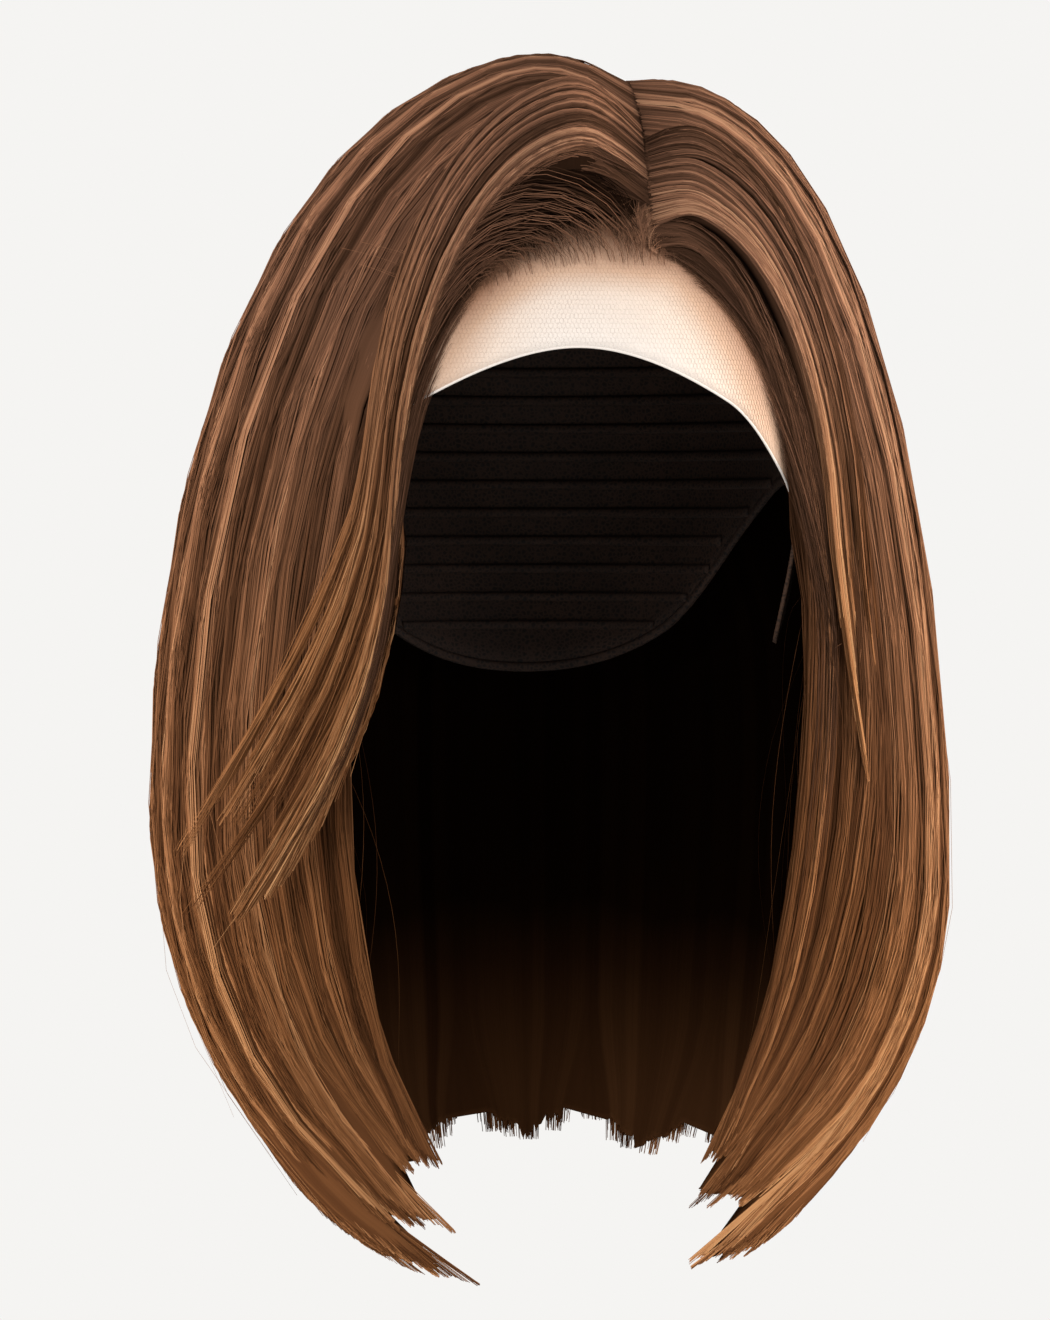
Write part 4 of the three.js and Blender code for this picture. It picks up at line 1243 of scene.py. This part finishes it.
def net_material(name, dark, light):
    """Close net of cells between threads."""
    material, tree, shader = shader_of(name, 0.8, 0.3)
    place = tree.nodes.new("ShaderNodeTexCoord")
    cells = tree.nodes.new("ShaderNodeTexVoronoi")
    cells.feature = "DISTANCE_TO_EDGE"
    cells.inputs["Scale"].default_value = 700.0
    tree.links.new(place.outputs["Object"], cells.inputs["Vector"])
    thread = cells.outputs["Distance"]
    colour = ramp(tree, thread, [(0.05, light), (0.3, dark)])
    cloud = noise(tree, place.outputs["Object"], scale=60.0)
    shade = ramp(tree, cloud, [(0.3, grey(0.8)), (0.7, grey(1.15))])
    tree.links.new(mixed(tree, colour, shade, 1.0, "MULTIPLY"), shader.inputs["Base Color"])
    bump(tree, thread, shader, strength=0.5, distance=0.0004)
    return material


# Studio


def area_light(name, place, aim, size, power, tint):
    lamp = bpy.data.lights.new(name, "AREA")
    lamp.shape = "DISK"
    lamp.size = size
    lamp.energy = power
    lamp.color = tint
    made = bpy.data.objects.new(name, lamp)
    made.location = place
    made.rotation_euler = (Vector(aim) - Vector(place)).to_track_quat("-Z", "Y").to_euler()
    bpy.context.scene.collection.objects.link(made)


def surround(pale):
    """A world that looks pale to the camera and lights the part softly."""
    world = bpy.data.worlds.new("surround")
    bpy.context.scene.world = world
    world.use_nodes = True
    tree = world.node_tree
    shown = tree.nodes["Background"]
    shown.inputs["Color"].default_value = pale
    lit = tree.nodes.new("ShaderNodeBackground")
    lit.inputs["Color"].default_value = grey(1)
    lit.inputs["Strength"].default_value = SURROUND_LIGHT
    path = tree.nodes.new("ShaderNodeLightPath")
    choose = tree.nodes.new("ShaderNodeMixShader")
    tree.links.new(path.outputs["Is Camera Ray"], choose.inputs["Fac"])
    tree.links.new(lit.outputs["Background"], choose.inputs[1])
    tree.links.new(shown.outputs["Background"], choose.inputs[2])
    tree.links.new(choose.outputs["Shader"], tree.nodes["World Output"].inputs["Surface"])


def pale_floor(pale):
    """A floor as pale as the surround, with no shadow on it."""
    material, _, shader = shader_of("floor_paint", 0.9, 0.0)
    shader.inputs["Base Color"].default_value = grey(0)
    shader.inputs["Emission Color"].default_value = pale
    shader.inputs["Emission Strength"].default_value = 1.0
    signs = ((-1, -1), (1, -1), (1, 1), (-1, 1))
    corners = np.array([(x * FLOOR_HALF, y * FLOOR_HALF, FLOOR_HEIGHT) for x, y in signs])
    floor = mesh_object("floor", corners, [np.array([[0, 1, 2, 3]])], material)


def photo_camera():
    """The camera of the photo."""
    azimuth, elevation = math.radians(CAMERA["azimuth"]), math.radians(CAMERA["elevation"])
    level = math.cos(elevation)
    forward = Vector((-math.sin(azimuth) * level, math.cos(azimuth) * level, -math.sin(elevation)))
    right = Vector((math.cos(azimuth), math.sin(azimuth), 0))
    aim = Vector((0, 0, CAMERA["aim_z"])) - CAMERA["aim_left"] * right
    camera = bpy.data.objects.new("camera", bpy.data.cameras.new("camera"))
    camera.data.lens = CAMERA["lens"]
    camera.location = aim - CAMERA["distance"] * forward
    camera.rotation_euler = forward.to_track_quat("-Z", "Y").to_euler()
    bpy.context.scene.collection.objects.link(camera)
    bpy.context.scene.camera = camera


def studio():
    """Pale floor and surround, soft lights, and the camera."""
    pale = linear(*PALE)
    surround(pale)
    pale_floor(pale)
    for light in LIGHTS:
        area_light(*light)
    photo_camera()
    bpy.context.scene.view_settings.view_transform = "Standard"


# Pieces

hair = hair_material("hair", 0.5, grooved=False)
under_hair = hair_material("under_hair", 0.6, grooved=True)
lace = lace_material("lace")
net = net_material("cap_net", linear(18, 11, 8), linear(48, 32, 23))
tab_net = net_material("ear_tab_net", linear(40, 26, 17), linear(66, 44, 30))
tan_lace = net_material("parting_net", linear(158, 116, 88), linear(136, 98, 74))

right_base = hair_base("right_base", RIGHT, under_hair, seed=1, locks=44, rows=34)
placed(right_base, "hair", "hair_right")
right_front_base = hair_base(
    "right_front_base", RIGHT_FRONT, under_hair, seed=2, locks=10, rows=30, reach=0.68
)
placed(right_front_base, "hair", "hair_right")
placed(roll_base("right_roll_base", under_hair), "hair", "hair_right")
right_strands = joined(
    locks_of_hair(RIGHT, seed=11, locks=36, strands=48),
    locks_of_hair(RIGHT, seed=17, locks=3, strands=60, span=(37, 42), fill=0.95),
)
placed(tube_mesh("right_strands", right_strands, hair), "hair", "hair_right")
right_front = joined(
    locks_of_hair(
        RIGHT_FRONT, seed=12, locks=24, strands=34, deep=1.8, wander=1.2, ragged=0.14, point=0.35,
        curl=4, merge=3,
    ),
    locks_of_hair(
        RIGHT_FRONT, seed=18, locks=3, strands=60, span=(0, 0.14), ragged=0.1, point=0.3, fill=0.9,
    ),
)
placed(tube_mesh("right_front_strands", right_front, hair), "hair", "hair_right")
right_hairline = joined(
    hairline_roll(seed=13, count=640),
    baby_hair(seed=14, count=320),
    edge_wisps(RIGHT_FRONT, seed=15, count=120, edge=0.0, turned=5, along_range=(0.22, 0.5)),
)
placed(tube_mesh("right_hairline", right_hairline, hair), "hair", "hair_right")

back_base = hair_base("back_base", BACK, under_hair, seed=3, locks=50, rows=34)
placed(back_base, "hair", "hair_back")
back_strands = locks_of_hair(BACK, seed=21, locks=34, strands=50)
placed(tube_mesh("back_strands", back_strands, hair), "hair", "hair_back")

left_base = hair_base("left_base", LEFT, under_hair, seed=4, locks=44, rows=34)
placed(left_base, "hair", "hair_left")
left_front_base = hair_base("left_front_base", LEFT_FRONT, under_hair, seed=5, locks=8, rows=30, reach=0.6)
placed(left_front_base, "hair", "hair_left")
placed(parting_base("parting_bed", under_hair), "hair", "hair_left", "hair_right")
left_strands = joined(
    locks_of_hair(LEFT, seed=31, locks=36, strands=48),
    locks_of_hair(LEFT, seed=35, locks=3, strands=60, span=(318, 323), fill=0.95),
)
placed(tube_mesh("left_strands", left_strands, hair), "hair", "hair_left")
left_front = locks_of_hair(
    LEFT_FRONT, seed=32, locks=14, strands=30, deep=1.6, wander=1.2, ragged=0.2, point=0.5, merge=9
)
placed(tube_mesh("left_front_strands", left_front, hair), "hair", "hair_left")
left_hairline = joined(
    edge_wisps(LEFT, seed=33, count=140, edge=323.0, turned=-6, along_range=(0.04, 0.42)),
    edge_wisps(LEFT, seed=36, count=200, edge=323.0, turned=-7, along_range=(0.0, 0.16)),
)
placed(tube_mesh("left_hairline", left_hairline, hair), "hair", "hair_left")

strays = joined(
    strays_of(RIGHT, seed=41, count=14),
    strays_of(BACK, seed=42, count=14),
    strays_of(LEFT, seed=43, count=14),
    strays_of(RIGHT_FRONT, seed=46, count=36, high=1.5),
    hanging_strays(RIGHT, seed=44, count=14, edge=37.0, sideways=1),
    hanging_strays(LEFT, seed=45, count=14, edge=323.0, sideways=-1),
)
placed(tube_mesh("stray_hairs", strays, hair), "hair", "hair_right", "hair_back", "hair_left")

placed(lace_net("lace_net", lace), "lace", "lace_front")
placed(lace_film("lace_film", lace), "lace", "lace_front")
placed(parting_strip("parting_strip", tan_lace), "lace", "parting_lace")
placed(cap_shell("cap_shell", net), "cap_net", "wig_cap")
placed(cap_wefts("cap_wefts", net), "cap_net", "wig_cap")
placed(ear_tab("ear_tab_cloth_right", -1, tab_net), "cap_net", "ear_tab_right")
placed(ear_tab("ear_tab_cloth_left", 1, tab_net), "cap_net", "ear_tab_left")

studio()
